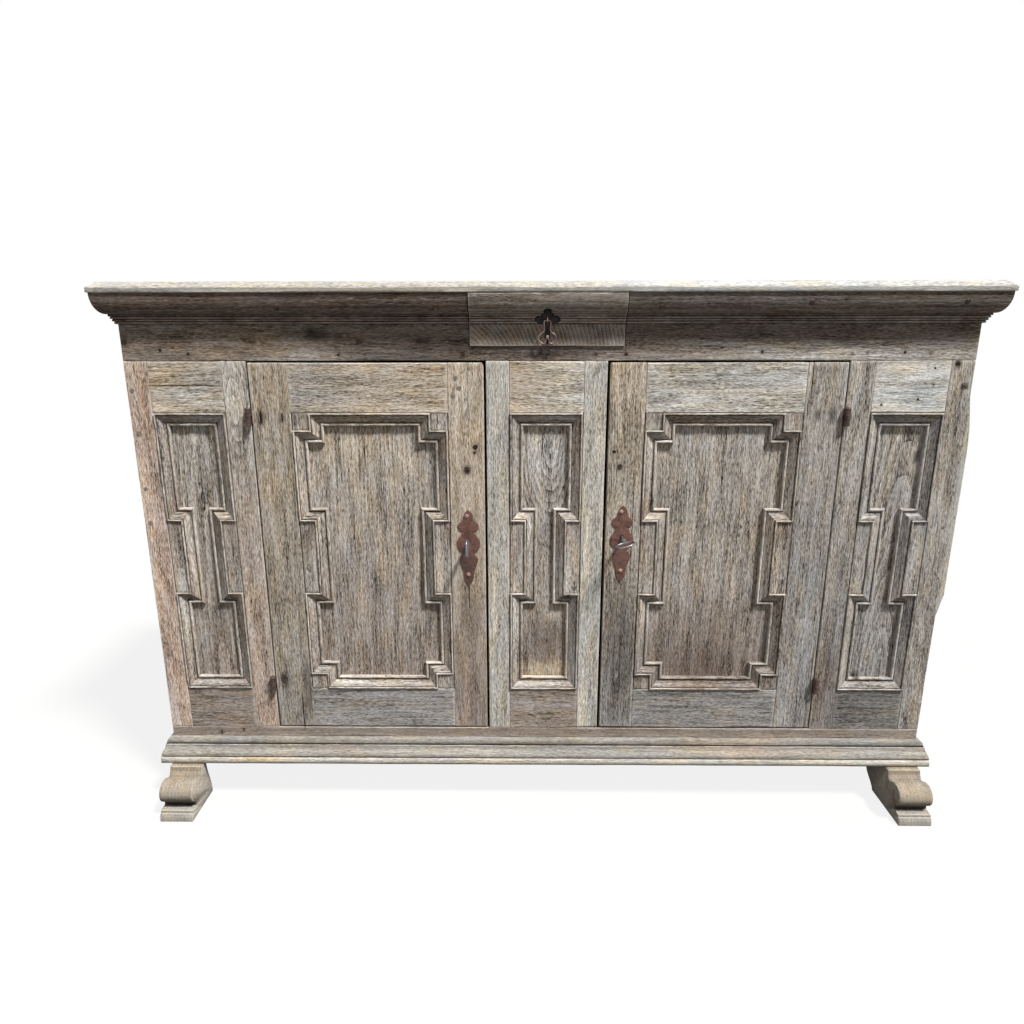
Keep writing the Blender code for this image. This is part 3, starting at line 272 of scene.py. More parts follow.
# Pegs, nails and worm holes on the front: X, Z, radius; pegs are oak, nails iron
FRAME_PEGS = (
    (-0.790, 0.882, 0.0050), (-0.788, 0.800, 0.0055), (-0.789, 0.690, 0.0045), (-0.788, 0.620, 0.0050),
    (-0.596, 0.949, 0.0050), (0.597, 0.953, 0.0040), (0.716, 0.953, 0.0050), (0.786, 0.761, 0.0045),
    (0.787, 0.614, 0.0040),
)
LEFT_DOOR_PEGS = ((-0.173, 0.906, 0.0045), (-0.166, 0.887, 0.0045), (-0.178, 0.872, 0.0045))
RIGHT_DOOR_PEGS = ((0.504, 0.900, 0.0045), (0.512, 0.880, 0.0045), (0.503, 0.862, 0.0045))
RAISED_PEGS = ((0.787, 0.893, 0.0062, 0.0030),)
FRAME_NAILS = (
    (-0.793, 0.973, 0.0055), (-0.727, 0.958, 0.0030), (-0.675, 0.951, 0.0030), (-0.392, 0.949, 0.0025),
    (-0.157, 0.949, 0.0035), (0.092, 0.950, 0.0020), (0.148, 0.950, 0.0035), (0.401, 0.954, 0.0030),
    (0.666, 0.953, 0.0030), (-0.694, 0.150, 0.0020), (-0.646, 0.158, 0.0020),
    (0.726, 0.924, 0.0020), (0.728, 0.893, 0.0015), (0.702, 0.866, 0.0025), (0.634, 0.856, 0.0020),
)
LEFT_DOOR_NAILS = ((-0.137, 0.774, 0.0050), (-0.138, 0.763, 0.0025), (-0.153, 0.727, 0.0035))
RIGHT_DOOR_NAILS = ((0.132, 0.765, 0.0035),)
CORNICE_NAILS = (
    (-0.765, 1.036), (-0.493, 1.036), (-0.212, 1.034), (0.206, 1.036), (0.474, 1.043), (0.751, 1.044),
)
CORNICE_NAIL_RADIUS = 0.0056
CORNICE_NAIL_HEIGHT = 0.0030
# Nails of a lock plate, from the key's axis
ESCUTCHEON_NAILS = ((-0.003, 0.052), (-0.001, -0.071))
ESCUTCHEON_NAIL_RADIUS = 0.0045
ESCUTCHEON_NAIL_HEIGHT = 0.0022
# How far pegs, knots with cracks, and nails in the frame stand out
PEG_HEIGHT = 0.0006
KNOT_HEIGHT = 0.0004
NAIL_HEIGHT = 0.0005

# Half outlines of the iron plates, as shares of height down from the top and of half width
ESCUTCHEON_OUTLINE = (
    (0.00, 0.00), (0.03, 0.26), (0.07, 0.40), (0.12, 0.45), (0.145, 0.58), (0.175, 0.84), (0.215, 0.90),
    (0.255, 0.80), (0.285, 0.47), (0.31, 0.62), (0.335, 0.66), (0.36, 0.80), (0.40, 0.97), (0.445, 1.00),
    (0.49, 0.94), (0.53, 0.77), (0.57, 0.49), (0.60, 0.62), (0.635, 0.78), (0.67, 0.79), (0.715, 0.70),
    (0.75, 0.62), (0.80, 0.50), (0.86, 0.43), (0.92, 0.34), (0.965, 0.20), (1.00, 0.00),
)
PLATE_OUTLINE = (
    (0.00, 0.00), (0.03, 0.24), (0.09, 0.31), (0.13, 0.30), (0.15, 0.46), (0.20, 0.52), (0.22, 0.84),
    (0.28, 1.00),
    (0.36, 0.98), (0.41, 0.62), (0.46, 0.36), (0.60, 0.24), (0.88, 0.20), (1.00, 0.00),
)
PULL_OUTLINE = (
    (0.00, 0.00), (0.00, 0.22), (0.06, 0.37), (0.28, 0.345), (0.42, 0.34), (0.50, 0.48), (0.59, 0.80),
    (0.70, 0.98),
    (0.82, 0.96), (0.93, 0.74), (0.985, 0.48), (0.94, 0.26), (0.82, 0.15), (0.74, 0.10), (0.71, 0.00),
)
OUTLINE_STEPS = 8

# Share of dark mill scale and painted shadow of the key on the lower half of each lock plate
PLATE_SCALE_AND_SHADOW = {"left": 0.55, "right": 0.15}
# The scale and painted shadow start this far below the key's axis, and are full after this length
SCALE_SHADOW_START = 0.012
SCALE_SHADOW_REACH = 0.030
# Wire bound round the pull: share of the pull's drop, and girth in wires
PULL_BINDING = ((0.625, 0.9), (0.630, 1.8), (0.655, 2.3), (0.765, 2.3), (0.785, 1.8), (0.790, 0.9))
# Level of the staple that the pull hangs on
STAPLE_LEVEL = 1.0135


def linear(code):
    """Linear red, green and blue of an sRGB hex colour."""
    value = np.array([int(code[place:place + 2], 16) for place in (1, 3, 5)]) / 255
    return tuple(np.where(value <= 0.04045, value / 12.92, ((value + 0.055) / 1.055) ** 2.4))


# Settings that a user would change


def colour(name, code, description):
    return FloatVectorProperty(
        name=name, description=description, default=linear(code), subtype="COLOR", size=3, min=0.0, max=1.0,
    )


def size(name, metres, description):
    return FloatProperty(name=name, description=description, default=metres, unit="LENGTH", precision=4)


def number(name, value, description):
    return FloatProperty(name=name, description=description, default=value, precision=4)


class OakSettings(bpy.types.PropertyGroup):
    """Tones of the oak boards, and the sizes of its figure and wear."""
    bleached: colour("Bleached", "#BFB9AE", "Silvery boards that the sun and lye have bleached")
    straw: colour("Straw", "#B7A58C", "Yellowish boards")
    tan: colour("Tan", "#B39A88", "Pinkish brown boards")
    grey: colour("Grey", "#A39A8F", "Weathered grey brown boards")
    slate: colour("Slate", "#8D8985", "Cool grey boards")
    umber: colour("Umber", "#8E8074", "Brown boards")
    dark: colour("Dark", "#6A5A50", "Smoky boards of the cornice and the drawer")
    inside: colour("Inside", "#8A745E", "Boards inside, which were never bleached")
    rubbed: colour("Rubbed", "#DAD2C6", "Fibres laid bare on arrises and bleached patches")
    silver: colour("Silver", "#BEC2C2", "Bluish white of wood that rain has bleached")
    honey: colour("Honey", "#C4AA7C", "Yellow patches that the lye has missed")
    # Colour of old wax, dirt and pores, and also of the painted shade in inner corners, quirks and under the
    # feet
    grime_and_shade: colour("Grime", "#1D1714", "Old wax and dirt in corners, pores and stains")
    arris: size("Arris", 0.0013, "Usual rounding of a board's arrises")
    station: size("Station", 0.006, "Distance between rings of points along a front board or panel moulding")
    long_station: size(
        "Long station", 0.014, "Distance between rings of points along planks and long mouldings",
    )
    wear_reach: size("Wear reach", 0.0022, "How far from an arris the wood is rubbed pale")
    fibre_width: size(
        "Fibre width", 0.0012, "Width of a fibre fleck, drawn coarser than the real 0.5 mm so that it shows",
    )
    fibre_length: size("Fibre length", 0.009, "Length of a fibre fleck")
    streak_width: size("Streak width", 0.0024, "Width of a streak of early or late wood")
    streak_length: size("Streak length", 0.060, "Length of a streak of early or late wood")
    pore_width: size(
        "Pore width", 0.0013, "Width of a pore, drawn coarser than the real 0.3 mm so that it shows",
    )
    pore_length: size("Pore length", 0.010, "Length of a pore dash")
    ring_spacing: size("Ring spacing", 0.0075, "Distance between growth rings")
    patch_width: size("Patch width", 0.036, "Width of a warm or cool patch")
    patch_length: size("Patch length", 0.12, "Length of a warm or cool patch")


class MouldingSettings(bpy.types.PropertyGroup):
    """Sizes of the stepped mouldings, the cornice, the plinth and the feet."""
    recess: size("Recess", 0.012, "Depth of a panel's field behind the face")
    field_thickness: size("Field thickness", 0.008, "Thickness of a panel's field")
    width: size("Width", 0.026, "Width of the panel moulding")
    slit: size("Slit", 0.0011, "Open joint round the panel moulding")
    proud: size("Proud", 0.0032, "Height of the panel moulding above the face")
    fillet: size("Fillet", 0.0035, "Flat at the moulding's outer edge")
    quirk: size("Quirk", 0.003, "Step between the flat and the hollow")
    bead: size("Bead", 0.006, "Width of the bead next to the field")
    bead_height: size("Bead height", 0.003, "Height of the bead")
    bead_foot: size("Bead foot", 0.005, "Drop from the bead's foot to the field")
    corner_block: size("Corner block", 0.033, "Side of a square corner block")
    door_mid_block: size("Door block", 0.031, "Width of an oblong block on a door")
    bay_mid_block: size("Bay block", 0.028, "Width of an oblong block on a bay")
    mid_block_height: size("Block height", 0.152, "Height of an oblong block")
    cornice_step: size("Cornice step", 0.0125, "Projection of the cornice's lower member")
    cornice_ovolo: size("Cornice ovolo", 0.0365, "Height of the cornice's upper member")
    cornice_bead: size("Cornice bead", 0.0046, "Width of the three beads under the cornice's ovolo")
    cornice_quirk: size("Cornice quirk", 0.0015, "Depth of the cornice's quirk")
    sill: size("Sill", 0.022, "Height of the plain strip above the plinth moulding")
    plinth_bead: size("Plinth bead", 0.011, "Radius of the plinth's upper bead")
    plinth_fillet: size("Plinth fillet", 0.002, "Height of the plinth's fillets")
    plinth_cyma_start: size("Plinth wave start", 0.0135, "Projection of the plinth's wave at its top")
    plinth_cyma_end: size("Plinth wave end", 0.0215, "Projection of the plinth's wave at its foot")
    plinth_fascia: size("Plinth fascia", 0.016, "Height of the plinth's lowest band")
    plinth_nose: size("Plinth nose", 0.0055, "Rounding of the plinth's lowest band")
    plinth_corner: size("Plinth corner", 0.009, "Rounding of the fascia's corner in plan")
    top_lip: size("Top lip", 0.004, "Upright part of the top's edge")
    top_under: size("Top under", 0.004, "Rounding under the top's edge")
    top_rounding: size("Top rounding", 0.014, "How far the top's edge is rounded over")


class IronSettings(bpy.types.PropertyGroup):
    """Colours and sizes of the hinges, plates, keys and nails."""
    rust: colour("Rust", "#6A4A40", "Red brown rust on the lock plates")
    hinge: colour("Hinge", "#4A3831", "Dull brown iron of the hinges")
    # Black scale, also painted on the lower part of a lock plate as the key's shadow
    scale: colour("Scale", "#352722", "Black scale under the rust")
    steel: colour("Steel", "#7C7A7B", "Handled steel of the keys")
    copper: colour("Pull", "#8E756C", "Pinkish wire of the drawer's pull")
    plate: colour("Plate", "#1E1917", "Blackened plate on the drawer")
    nail: colour("Nail", "#98786C", "Rubbed heads of the lock plates' nails")
    escutcheon_height: size("Escutcheon height", 0.159, "Height of a lock plate")
    escutcheon_width: size("Escutcheon width", 0.046, "Width of a lock plate")
    escutcheon_rise: size("Escutcheon rise", 0.064, "From the keyhole up to the plate's tip")
    keyhole_radius: size("Keyhole", 0.0045, "Radius of the keyhole")
    slot_half: size("Keyhole slot", 0.002, "Half width of the keyhole's slot")
    slot_drop: size("Keyhole drop", 0.0125, "How far the slot reaches below the key's axis")
    shank: size("Shank", 0.0032, "Radius of a key's shank")
    key_reach: size("Key reach", 0.070, "How far a key stands in front of the face")
    bow_width: size("Bow width", 0.040, "Width of a key's bow")
    bow_length: size("Bow length", 0.032, "Length of a key's bow")
    bow_wire: size("Bow wire", 0.0023, "Radius of the bow's bar")
    bit_radius: size("Bit", 0.011, "Reach of a key's bit from its axis")
    barrel: size("Barrel", 0.006, "Radius of a hinge's barrel")
    right_key_turn: FloatProperty(
        name="Right key", description="Turn of the right key from upright", default=math.radians(105.0),
        subtype="ANGLE",
    )
    pull_width: size("Pull width", 0.036, "Width of the drawer's wire pull")
    pull_drop: size("Pull drop", 0.042, "Length of the drawer's wire pull")
    pull_wire: size("Pull wire", 0.0014, "Radius of the pull's wire")
    eye_radius: size("Eye", 0.0055, "Radius of the staple that holds the pull")
    eye_wire: size("Eye wire", 0.0015, "Radius of the staple's wire")


class StageSettings(bpy.types.PropertyGroup):
    """Camera, light and floor."""
    lens: FloatProperty(
        name="Lens", description="Focal length of the camera", default=26.0156, unit="CAMERA",
        subtype="DISTANCE_CAMERA",
    )
    eye: FloatVectorProperty(
        name="Eye", description="Place of the camera", default=(-0.0502, -1.6144, 1.0267),
        subtype="TRANSLATION",
        unit="LENGTH",
    )
    turn: FloatVectorProperty(
        name="Turn", description="Yaw, pitch and roll of the camera",
        default=tuple(math.radians(angle) for angle in (-0.640, 15.137, -0.092)), subtype="EULER",
    )
    sun_path: FloatVectorProperty(
        name="Sun path", description="Direction in which the key light travels",
        default=(-0.40, 0.330, -0.853),
        subtype="DIRECTION",
    )
    sun_strength: number("Sun strength", 6.3, "Strength of the key light")
    sun_softness: FloatProperty(
        name="Sun softness", description="Angle of the key light's disc", default=math.radians(8.0),
        subtype="ANGLE",
    )
    side_path: FloatVectorProperty(
        name="Side path", description="Direction in which the side light travels",
        default=(0.55, 0.60, -0.58),
        subtype="DIRECTION",
    )
    side_strength: number("Side strength", 0.30, "Strength of the side light")
    side_softness: FloatProperty(
        name="Side softness", description="Angle of the side light's disc", default=math.radians(40.0),
        subtype="ANGLE",
    )
    fill: number("Fill", 0.23, "Strength of the light from all round")
    floor: colour("Floor", "#C2C0BC", "Pale floor as it is seen")
    floor_bounce: colour("Floor bounce", "#5E5C5A", "Floor's share in lighting the sideboard from below")
    floor_glow: number("Floor glow", 0.86, "Share of plain white in what the camera sees of the floor")


# Shapes


@dataclass
class Shell:
    """One closed skin: points, faces as corner numbers and counts, and what the finish reads at each point.
    """
    points: np.ndarray
    corners: np.ndarray
    counts: np.ndarray
    grain: np.ndarray
    tone: np.ndarray
    wear_and_shade: np.ndarray
    heart: np.ndarray
    rings: float = 1.0


def seeded(name):
    """Random numbers that are the same for the same name on every run."""
    return np.random.default_rng(zlib.crc32(name.encode()))


def wander(rng, places, spacing, amount):
    """Smooth random line: knots a spacing apart, within plus or minus amount, joined by half cosine waves."""
    at = (places - places.min()) / spacing
    knots = rng.uniform(-amount, amount, int(at.max()) + 2)
    index = at.astype(int)
    ease = (1 - np.cos(np.pi * (at - index))) / 2
    return knots[index] * (1 - ease) + knots[index + 1] * ease


def skin(points, grain, tone, wear_and_shade, closed=False):
    """Skin over rings of points: quads between neighbours, and a cap on each end unless the rings run round.

    The volume inside is a third of the sum, over the faces, of a corner's place times the face's area vector.
    Where that comes out below zero the faces point inwards, and their corners are taken in reverse.
    """
    rings, columns = points.shape[:2]
    index = np.arange(rings * columns).reshape(rings, columns)
    side = np.roll(index, -1, axis=1)
    if closed:
        quads = np.stack([index, side, np.roll(side, -1, axis=0), np.roll(index, -1, axis=0)], axis=-1)
        caps = []
    else:
        quads = np.stack([index[:-1], side[:-1], side[1:], index[1:]], axis=-1)
        caps = [index[0][::-1], index[-1]]
    quads = quads.reshape(-1, 4)
    flat = points.reshape(-1, 3)
    corner = flat[quads]
    areas = np.cross(corner[:, 2] - corner[:, 0], corner[:, 3] - corner[:, 1]) / 2
    volume = np.sum(corner[:, 0] * areas)
    for cap in caps:
        ring = flat[cap]
        volume += ring[0] @ (np.cross(ring, np.roll(ring, -1, axis=0)).sum(axis=0) / 2)
    if volume < 0:
        quads = quads[:, ::-1]
        caps = [cap[::-1] for cap in caps]
    return Shell(
        flat,
        np.concatenate([quads.ravel(), *caps]),
        np.concatenate([np.full(len(quads), 4), [len(cap) for cap in caps]]).astype(int),
        np.broadcast_to(grain, points.shape).reshape(-1, 3),
        np.broadcast_to(tone, points.shape).reshape(-1, 3),
        np.broadcast_to(wear_and_shade, (rings, columns)).reshape(-1),
        np.zeros(flat.shape),
    )


def section_plan(columns):
    """Columns round a board's section: for each its corner and angle, the next ones, and the share between.

    Corners run low front, high front, high back, low back. Columns on a face crowd towards its arrises.
    """
    plan = []
    for corner, count in enumerate(columns):
        turn = math.pi * (1 + corner / 2)
        plan += [
            (corner, turn + math.pi / 2 * step / ARC_STEPS, corner, 0.0, 0.0) for step in range(ARC_STEPS + 1)
        ]
        shares = (1 - np.cos(np.pi * np.arange(1, count + 1) / (count + 1))) / 2
        plan += [
            (corner, turn + math.pi / 2, (corner + 1) % 4, turn + math.pi / 2, share) for share in shares
        ]
    corner, turn, following, heading, share = np.array(plan).T
    return corner.astype(int), turn, following.astype(int), heading, share


def stations(length, step, arris):
    """Places along a board: close together on its eased ends, and a step apart between them."""
    end = arris * (1 - np.cos(np.linspace(0, np.pi / 2, ARC_STEPS + 1)))
    middle = np.linspace(arris, length - arris, max(2, int(length / step) + 1))
    return np.concatenate([end[:-1], middle, length - end[-2::-1]])


def board(
    oak, low, high, along, across, tones, rng, columns=FRONT_COLUMNS, arris=None, top=None, cuts=(),
    pith=None,
    station=None, figure=1.0,
):
    """Worn board between two corners: a rounded rectangle carried along one axis.

    At each station the four corner radii and the two edges wander a little, inwards only, and the ends are
    drawn in as a quarter circle. A point's wear falls off with its distance from the nearest arris. Its place
    in the timber is its place across, through and along the board. Its heart is the way to it from a pith
    that leans and sinks along the board, and how far its figure is from the usual strength. top gives the
    upper limit across the board at places along it, and cuts are places where that limit jumps.
    """
    low, high = np.array(low, float), np.array(high, float)
    through = 3 - along - across
    length = high[along] - low[along]
    arris = arris or oak.arris
    run = stations(length, station or oak.station, arris)
    if len(cuts):
        jumps = np.add.outer(np.array(cuts) - low[along], (-1e-4, 1e-4)).ravel()
        run = np.sort(np.concatenate([run, jumps]))
    corner, turn, following, heading, share = section_plan(columns)
    rounding = arris * np.exp(np.stack([wander(rng, run, 0.11, 0.6) for _ in range(4)]))
    reach = np.clip(arris - np.minimum(run, length - run), 0, arris)
    ease = arris - np.sqrt(arris ** 2 - reach ** 2)
    upper = np.full(len(run), high[across]) if top is None else top(low[along] + run)
    first = low[across] + ease + np.abs(wander(rng, run, 0.17, 0.0005))
    last = upper - ease - np.abs(wander(rng, run, 0.17, 0.0005))
    front, back = low[through] + ease, high[through] - ease
    corner_a = np.stack([first + rounding[0], last - rounding[1], last - rounding[2], first + rounding[3]])
    corner_t = np.stack([front + rounding[0], front + rounding[1], back - rounding[2], back - rounding[3]])

    def between(centres, wave):
        near = (centres[corner] + rounding[corner] * wave(turn)[:, None]).T
        far = (centres[following] + rounding[following] * wave(heading)[:, None]).T
        return near * (1 - share) + far * share

    a = between(corner_a, np.cos)
    t = between(corner_t, np.sin)
    cupped = np.where(corner == 0, np.sin(np.pi * share), 0) - np.where(corner == 2, np.sin(np.pi * share), 0)
    t = t + np.abs(wander(rng, run, 0.13, 0.0006))[:, None] * cupped
    points = np.empty((*a.shape, 3))
    points[..., along] = (low[along] + run)[:, None]
    points[..., across] = a
    points[..., through] = t

    edges = np.stack(np.broadcast_arrays(
        np.minimum(a - first[:, None], last[:, None] - a),
        np.minimum(t - front[:, None], back[:, None] - t),
        np.minimum(run, length - run)[:, None],
    ))
    rubbed = 0.5 + wander(rng, run, 0.06, 0.5)
    wear_and_shade = rubbed[:, None] * np.exp(-np.sort(edges, axis=0)[1] / oak.wear_reach)

    if pith is None:
        width = high[across] - low[across]
        pith = (
            rng.uniform(-0.6, 0.6) * width, rng.uniform(0.012, 0.06), rng.normal(0, 0.012),
            rng.normal(0, 0.04),
        )
    offset, depth, lean, sink = pith
    far = (run - length / 2)[:, None]
    grain = np.stack(np.broadcast_arrays(
        a - (low[across] + high[across]) / 2, t - low[through], run[:, None] + rng.uniform(0, 9),
    ), axis=-1)
    blend = np.clip(run / length + wander(rng, run, 0.2, 0.15), 0, 1)[:, None, None]
    tone = tones[0] * (1 - blend) + tones[1] * blend
    shell = skin(points, grain, tone, wear_and_shade)
    heart = np.stack(
        np.broadcast_arrays(offset + lean * far + 0 * a, depth + sink * far, figure - 1), axis=-1,
    )
    shell.heart = heart.reshape(-1, 3)
    return shell


def planks(oak, low, high, along, across, count, tones, rng, gap=0.0008, **more):
    """Boards of unlike width side by side between two corners, each with its own figure and lightness."""
    widths = rng.uniform(0.8, 1.25, count)
    lines = low[across] + (high[across] - low[across]) * np.concatenate(
        [[0], np.cumsum(widths) / widths.sum()]
    )
    made = []
    for near, far in zip(lines, lines[1:]):
        first, last = np.array(low, float), np.array(high, float)
        first[across] = near + gap / 2
        last[across] = far - gap / 2
        shade = rng.uniform(0.86, 1.12)
        toned = [tone * shade for tone in tones]
        made.append(board(oak, first, last, along, across, toned, rng, station=oak.long_station, **more))
    return made


def eased(outline, spacing=0.001, rounds=2):
    """Closed outline at even spacing, averaged with its neighbours so that its arrises are worn round."""
    line = np.array([*outline, outline[0]], float)
    run = np.concatenate([[0], np.cumsum(np.hypot(*np.diff(line, axis=0).T))])
    at = np.linspace(0, run[-1], int(run[-1] / spacing), endpoint=False)
    ring = np.stack([np.interp(at, run, line[:, axis]) for axis in (0, 1)], axis=1)
    for _ in range(rounds):
        ring = (np.roll(ring, 1, axis=0) + 2 * ring + np.roll(ring, -1, axis=0)) / 4
    return ring


def ring_wear_and_shade(ring):
    """Rubbed on outer arrises, with painted shade in inner corners: the ring's turn at each point, by its
    sense round.
    """
    ahead = np.roll(ring, -1, axis=0) - ring
    behind = ring - np.roll(ring, 1, axis=0)
    turn = np.arctan2(np.cross(behind, ahead), np.sum(behind * ahead, axis=1))
    return np.clip(1.6 * turn * np.sign(turn.sum()), -1, 1)


def strip(oak, ring, ends, mitres, raised, tones, rng, places=None, soot=0.0, chip=0.0):
    """Moulding: a ring of (p, q) carried straight from one end to the other.

    A point is the end's place plus p times that end's mitre vector plus q times the raised vector, blended
    from one end to the other. Mitre vectors that lean along the strip cut its ends at an angle. soot is the
    dirt that lies on its level parts. Its outer arrises are drawn in, here and there, by up to the depth of a
    chip.
    """
    p, q = ring.T
    start, end = (np.array(place, float) for place in ends)
    length = np.linalg.norm(end - start)
    if places is None:
        places = np.linspace(0, 1, max(3, int(length / oak.station) + 2))
    along = places * length
    worn_and_shaded = ring_wear_and_shade(ring)
    ahead = np.roll(ring, -1, axis=0) - np.roll(ring, 1, axis=0)
    ahead = ahead / np.linalg.norm(ahead, axis=1)[:, None]
    inward = np.column_stack([-ahead[:, 1], ahead[:, 0]])
    inward = inward * np.sign(np.sum(inward * (ring.mean(axis=0) - ring)))
    chipped = chip * np.clip(wander(rng, along, 0.016, 1.0), 0, 1) ** 2
    drawn = chipped[:, None] * np.clip(worn_and_shaded, 0, 1)
    inset = (p + drawn * inward[:, 0])[..., None]
    height = (q + drawn * inward[:, 1] + wander(rng, along, 0.05, 0.0003)[:, None])[..., None]
    share = places[:, None, None]
    near = start + inset * np.array(mitres[0], float)
    far = end + inset * np.array(mitres[1], float)
    points = near * (1 - share) + far * share + height * np.array(raised, float)
    rubbed = np.clip(0.55 + wander(rng, along, 0.014, 0.65), 0, 1)[:, None]
    level = np.abs(ahead[:, 0]) * (q > q.min() + 0.002)
    # Above zero the arrises are rubbed; below zero is painted shade in inner corners, made stronger; less the
    # soot on level parts
    wear_and_shade = np.where(worn_and_shaded > 0, worn_and_shaded * rubbed, 1.6 * worn_and_shaded) - soot * level
    grain = np.stack(np.broadcast_arrays(
        p + rng.uniform(-0.03, 0.03), q + rng.uniform(0.02, 0.09), along[:, None] + rng.uniform(0, 9),
    ), axis=-1)
    blend = np.clip(places + wander(rng, along, 0.2, 0.15), 0, 1)[:, None, None]
    return skin(points, grain, tones[0] * (1 - blend) + tones[1] * blend, wear_and_shade)


def tube(path, radius, flat, tone, closed=False, sides=ROUND_SIDES):
    """Round bar along a path that lies in a plane: circles spanned by the path's normal in it and the plane's
    own.

    radius is one value, or one for each point of the path.
    """
    path = np.array(path, float)
    if closed:
        ahead = np.roll(path, -1, axis=0) - np.roll(path, 1, axis=0)
    else:
        ahead = np.gradient(path, axis=0)
    outward = np.cross(np.array(flat, float), ahead)
    outward /= np.linalg.norm(outward, axis=1)[:, None]
    turn = np.linspace(0, 2 * np.pi, sides, endpoint=False)
    reach = np.broadcast_to(np.array(radius, float), len(path))[:, None, None]
    circle = np.cos(turn)[None, :, None] * outward[:, None] + np.sin(turn)[None, :, None] * np.array(flat, float)
    points = path[:, None] + reach * circle
    return skin(points, points, np.array(tone), 0.0, closed)


def dome(centre, radius, height, tone, wear_and_shade=0.0, tall=1.0, sunk=0.002):
    """Low dome that faces the front: a short barrel in the wood, then a quarter ellipse up to a small flat.

    tall is its height as a share of its width. Its place in the timber is that of end grain.
    """
    rise = np.linspace(0, np.pi / 2 * 0.92, 5)
    reach = radius * np.concatenate([[1.0], np.cos(rise)])
    forward = np.concatenate([[-sunk], height * np.sin(rise)])
    turn = np.linspace(0, 2 * np.pi, 14, endpoint=False)
    points = np.stack(np.broadcast_arrays(
        centre[0] + reach[:, None] * np.cos(turn),
        centre[1] - forward[:, None],
        centre[2] + tall * reach[:, None] * np.sin(turn),
    ), axis=-1)
    grain = (points - np.array(centre))[..., [0, 2, 1]] * np.array((1.0, 1 / tall, 1.0))
    return skin(points, grain, np.array(tone), wear_and_shade)


def smooth_line(points, steps=OUTLINE_STEPS):
    """Catmull-Rom curve through points, with the end points kept."""
    padded = np.array([points[0], *points, points[-1]], float)
    a, b, c, d = padded[:-3, None], padded[1:-2, None], padded[2:-1, None], padded[3:, None]
    t = np.arange(steps)[:, None] / steps
    curve = b + t / 2 * (c - a + t * (2 * a - 5 * b + 4 * c - d + t * (3 * b - a - 3 * c + d)))
    return np.vstack([curve.reshape(-1, 2), padded[-1:]])


def add_piece(name, shells, slot, body, nodes):
    """Object of several shells with its finish, riding on a body in place of the nodes that it stands for."""
    starts = np.cumsum([0] + [len(shell.points) for shell in shells])
    corners = np.concatenate([shell.corners + start for shell, start in zip(shells, starts)])
    counts = np.concatenate([shell.counts for shell in shells])
    mesh = bpy.data.meshes.new(name)
    mesh.vertices.add(starts[-1])
    mesh.vertices.foreach_set(
        "co", np.concatenate([shell.points for shell in shells]).astype(np.float32).ravel(),
    )
    mesh.loops.add(len(corners))
    mesh.loops.foreach_set("vertex_index", corners.astype(np.int32))
    mesh.polygons.add(len(counts))
    mesh.polygons.foreach_set("loop_start", (np.cumsum(counts) - counts).astype(np.int32))
    mesh.update(calc_edges=True)
    tone = np.concatenate([shell.tone for shell in shells])
    rings = np.concatenate([np.full(len(shell.points), shell.rings) for shell in shells])
    for label, kind, field, values in (
        ("grain", "FLOAT_VECTOR", "vector", np.concatenate([shell.grain for shell in shells])),
        ("tone", "FLOAT_COLOR", "color", np.column_stack([tone, rings])),
        ("wear_and_shade", "FLOAT", "value", np.concatenate([shell.wear_and_shade for shell in shells])),
        ("heart", "FLOAT_VECTOR", "vector", np.concatenate([shell.heart for shell in shells])),
    ):
        attribute = mesh.attributes.new(label, kind, "POINT")
        attribute.data.foreach_set(field, values.astype(np.float32).ravel())
    mesh.validate()
    mesh.shade_smooth()
    mesh.set_sharp_from_angle(angle=math.radians(38.0))
    mesh.materials.append(finish_of(slot))
    piece = bpy.data.objects.new(name, mesh)
    bpy.context.scene.collection.objects.link(piece)
    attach(piece, body)
    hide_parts(*nodes)
    return piece


def tones_of(oak, name, shade=1.0):
    """Linear colours of a board's two ends."""
    first, last, lightness = BOARD_TONES[name]
    return [np.array(getattr(oak, tone)) * lightness * shade for tone in (first, last)]


def ring_strength(name, shell):
    """Strength of the growth rings at each point: a board's own, and a quarter of it well below its level."""
    strength, level = RINGS.get(name, (1.0, 0.0))
    return strength * np.clip((shell.points[:, 2] - level) / 0.10 + 1, 0.25, 1)


def stained(oak, name, shell):
    """Shell with its stains and tinted patches: bells over X and Z, put into wear and tone near the front."""
    x, y, z = shell.points.T
    facing = y < FACE + 0.02

    def bell(mark_x, mark_z, wide, tall, steep):
        return np.exp(-(((x - mark_x) / wide) ** 2 + ((z - mark_z) / tall) ** 2) ** steep) * facing

    halos = [
        (x, z, 2.4 * radius, 2.4 * radius, -0.4)
        for x, z, radius in (*FRAME_NAILS, *LEFT_DOOR_NAILS, *RIGHT_DOOR_NAILS)
    ]
    for *mark, strength in (*MARKS.get(name, ()), *halos):
        shell.wear_and_shade = shell.wear_and_shade + strength * bell(*mark, 2.2)
    for *mark, tone, share in TINTS.get(name, ()):
        covered = share * bell(*mark, 1.0)[:, None]
        shell.tone = shell.tone * (1 - covered) + np.array(getattr(oak, tone)) * covered
    return shell


# Profiles of the mouldings


def moulding_ring(form):
    """Section of the panel moulding: inset from its outer line, and depth behind the face.

    A flat, a quirk, half a cosine wave down to the bead, the bead's half ellipse, and a foot sunk in the
    field.
    """
    bead_start = form.width - form.bead
    top = form.quirk - form.proud
    foot = form.recess - form.bead_foot
    share = np.linspace(0, 1, 16)
    wave = [
        form.fillet + (bead_start - form.fillet) * share,
        top + (foot - top) * (1 - np.cos(np.pi * share)) / 2,
    ]
    turn = np.linspace(np.pi, 0, 10)[1:]
    bead = [bead_start + form.bead / 2 * (1 + np.cos(turn)), foot - form.bead_height * np.sin(turn)]
    sunk = form.recess + 0.0005
    outline = [(0.0, -form.proud), (form.fillet, -form.proud), *zip(*wave), *zip(*bead)]
    return eased([*outline, (form.width, sunk), (0.0, sunk)])


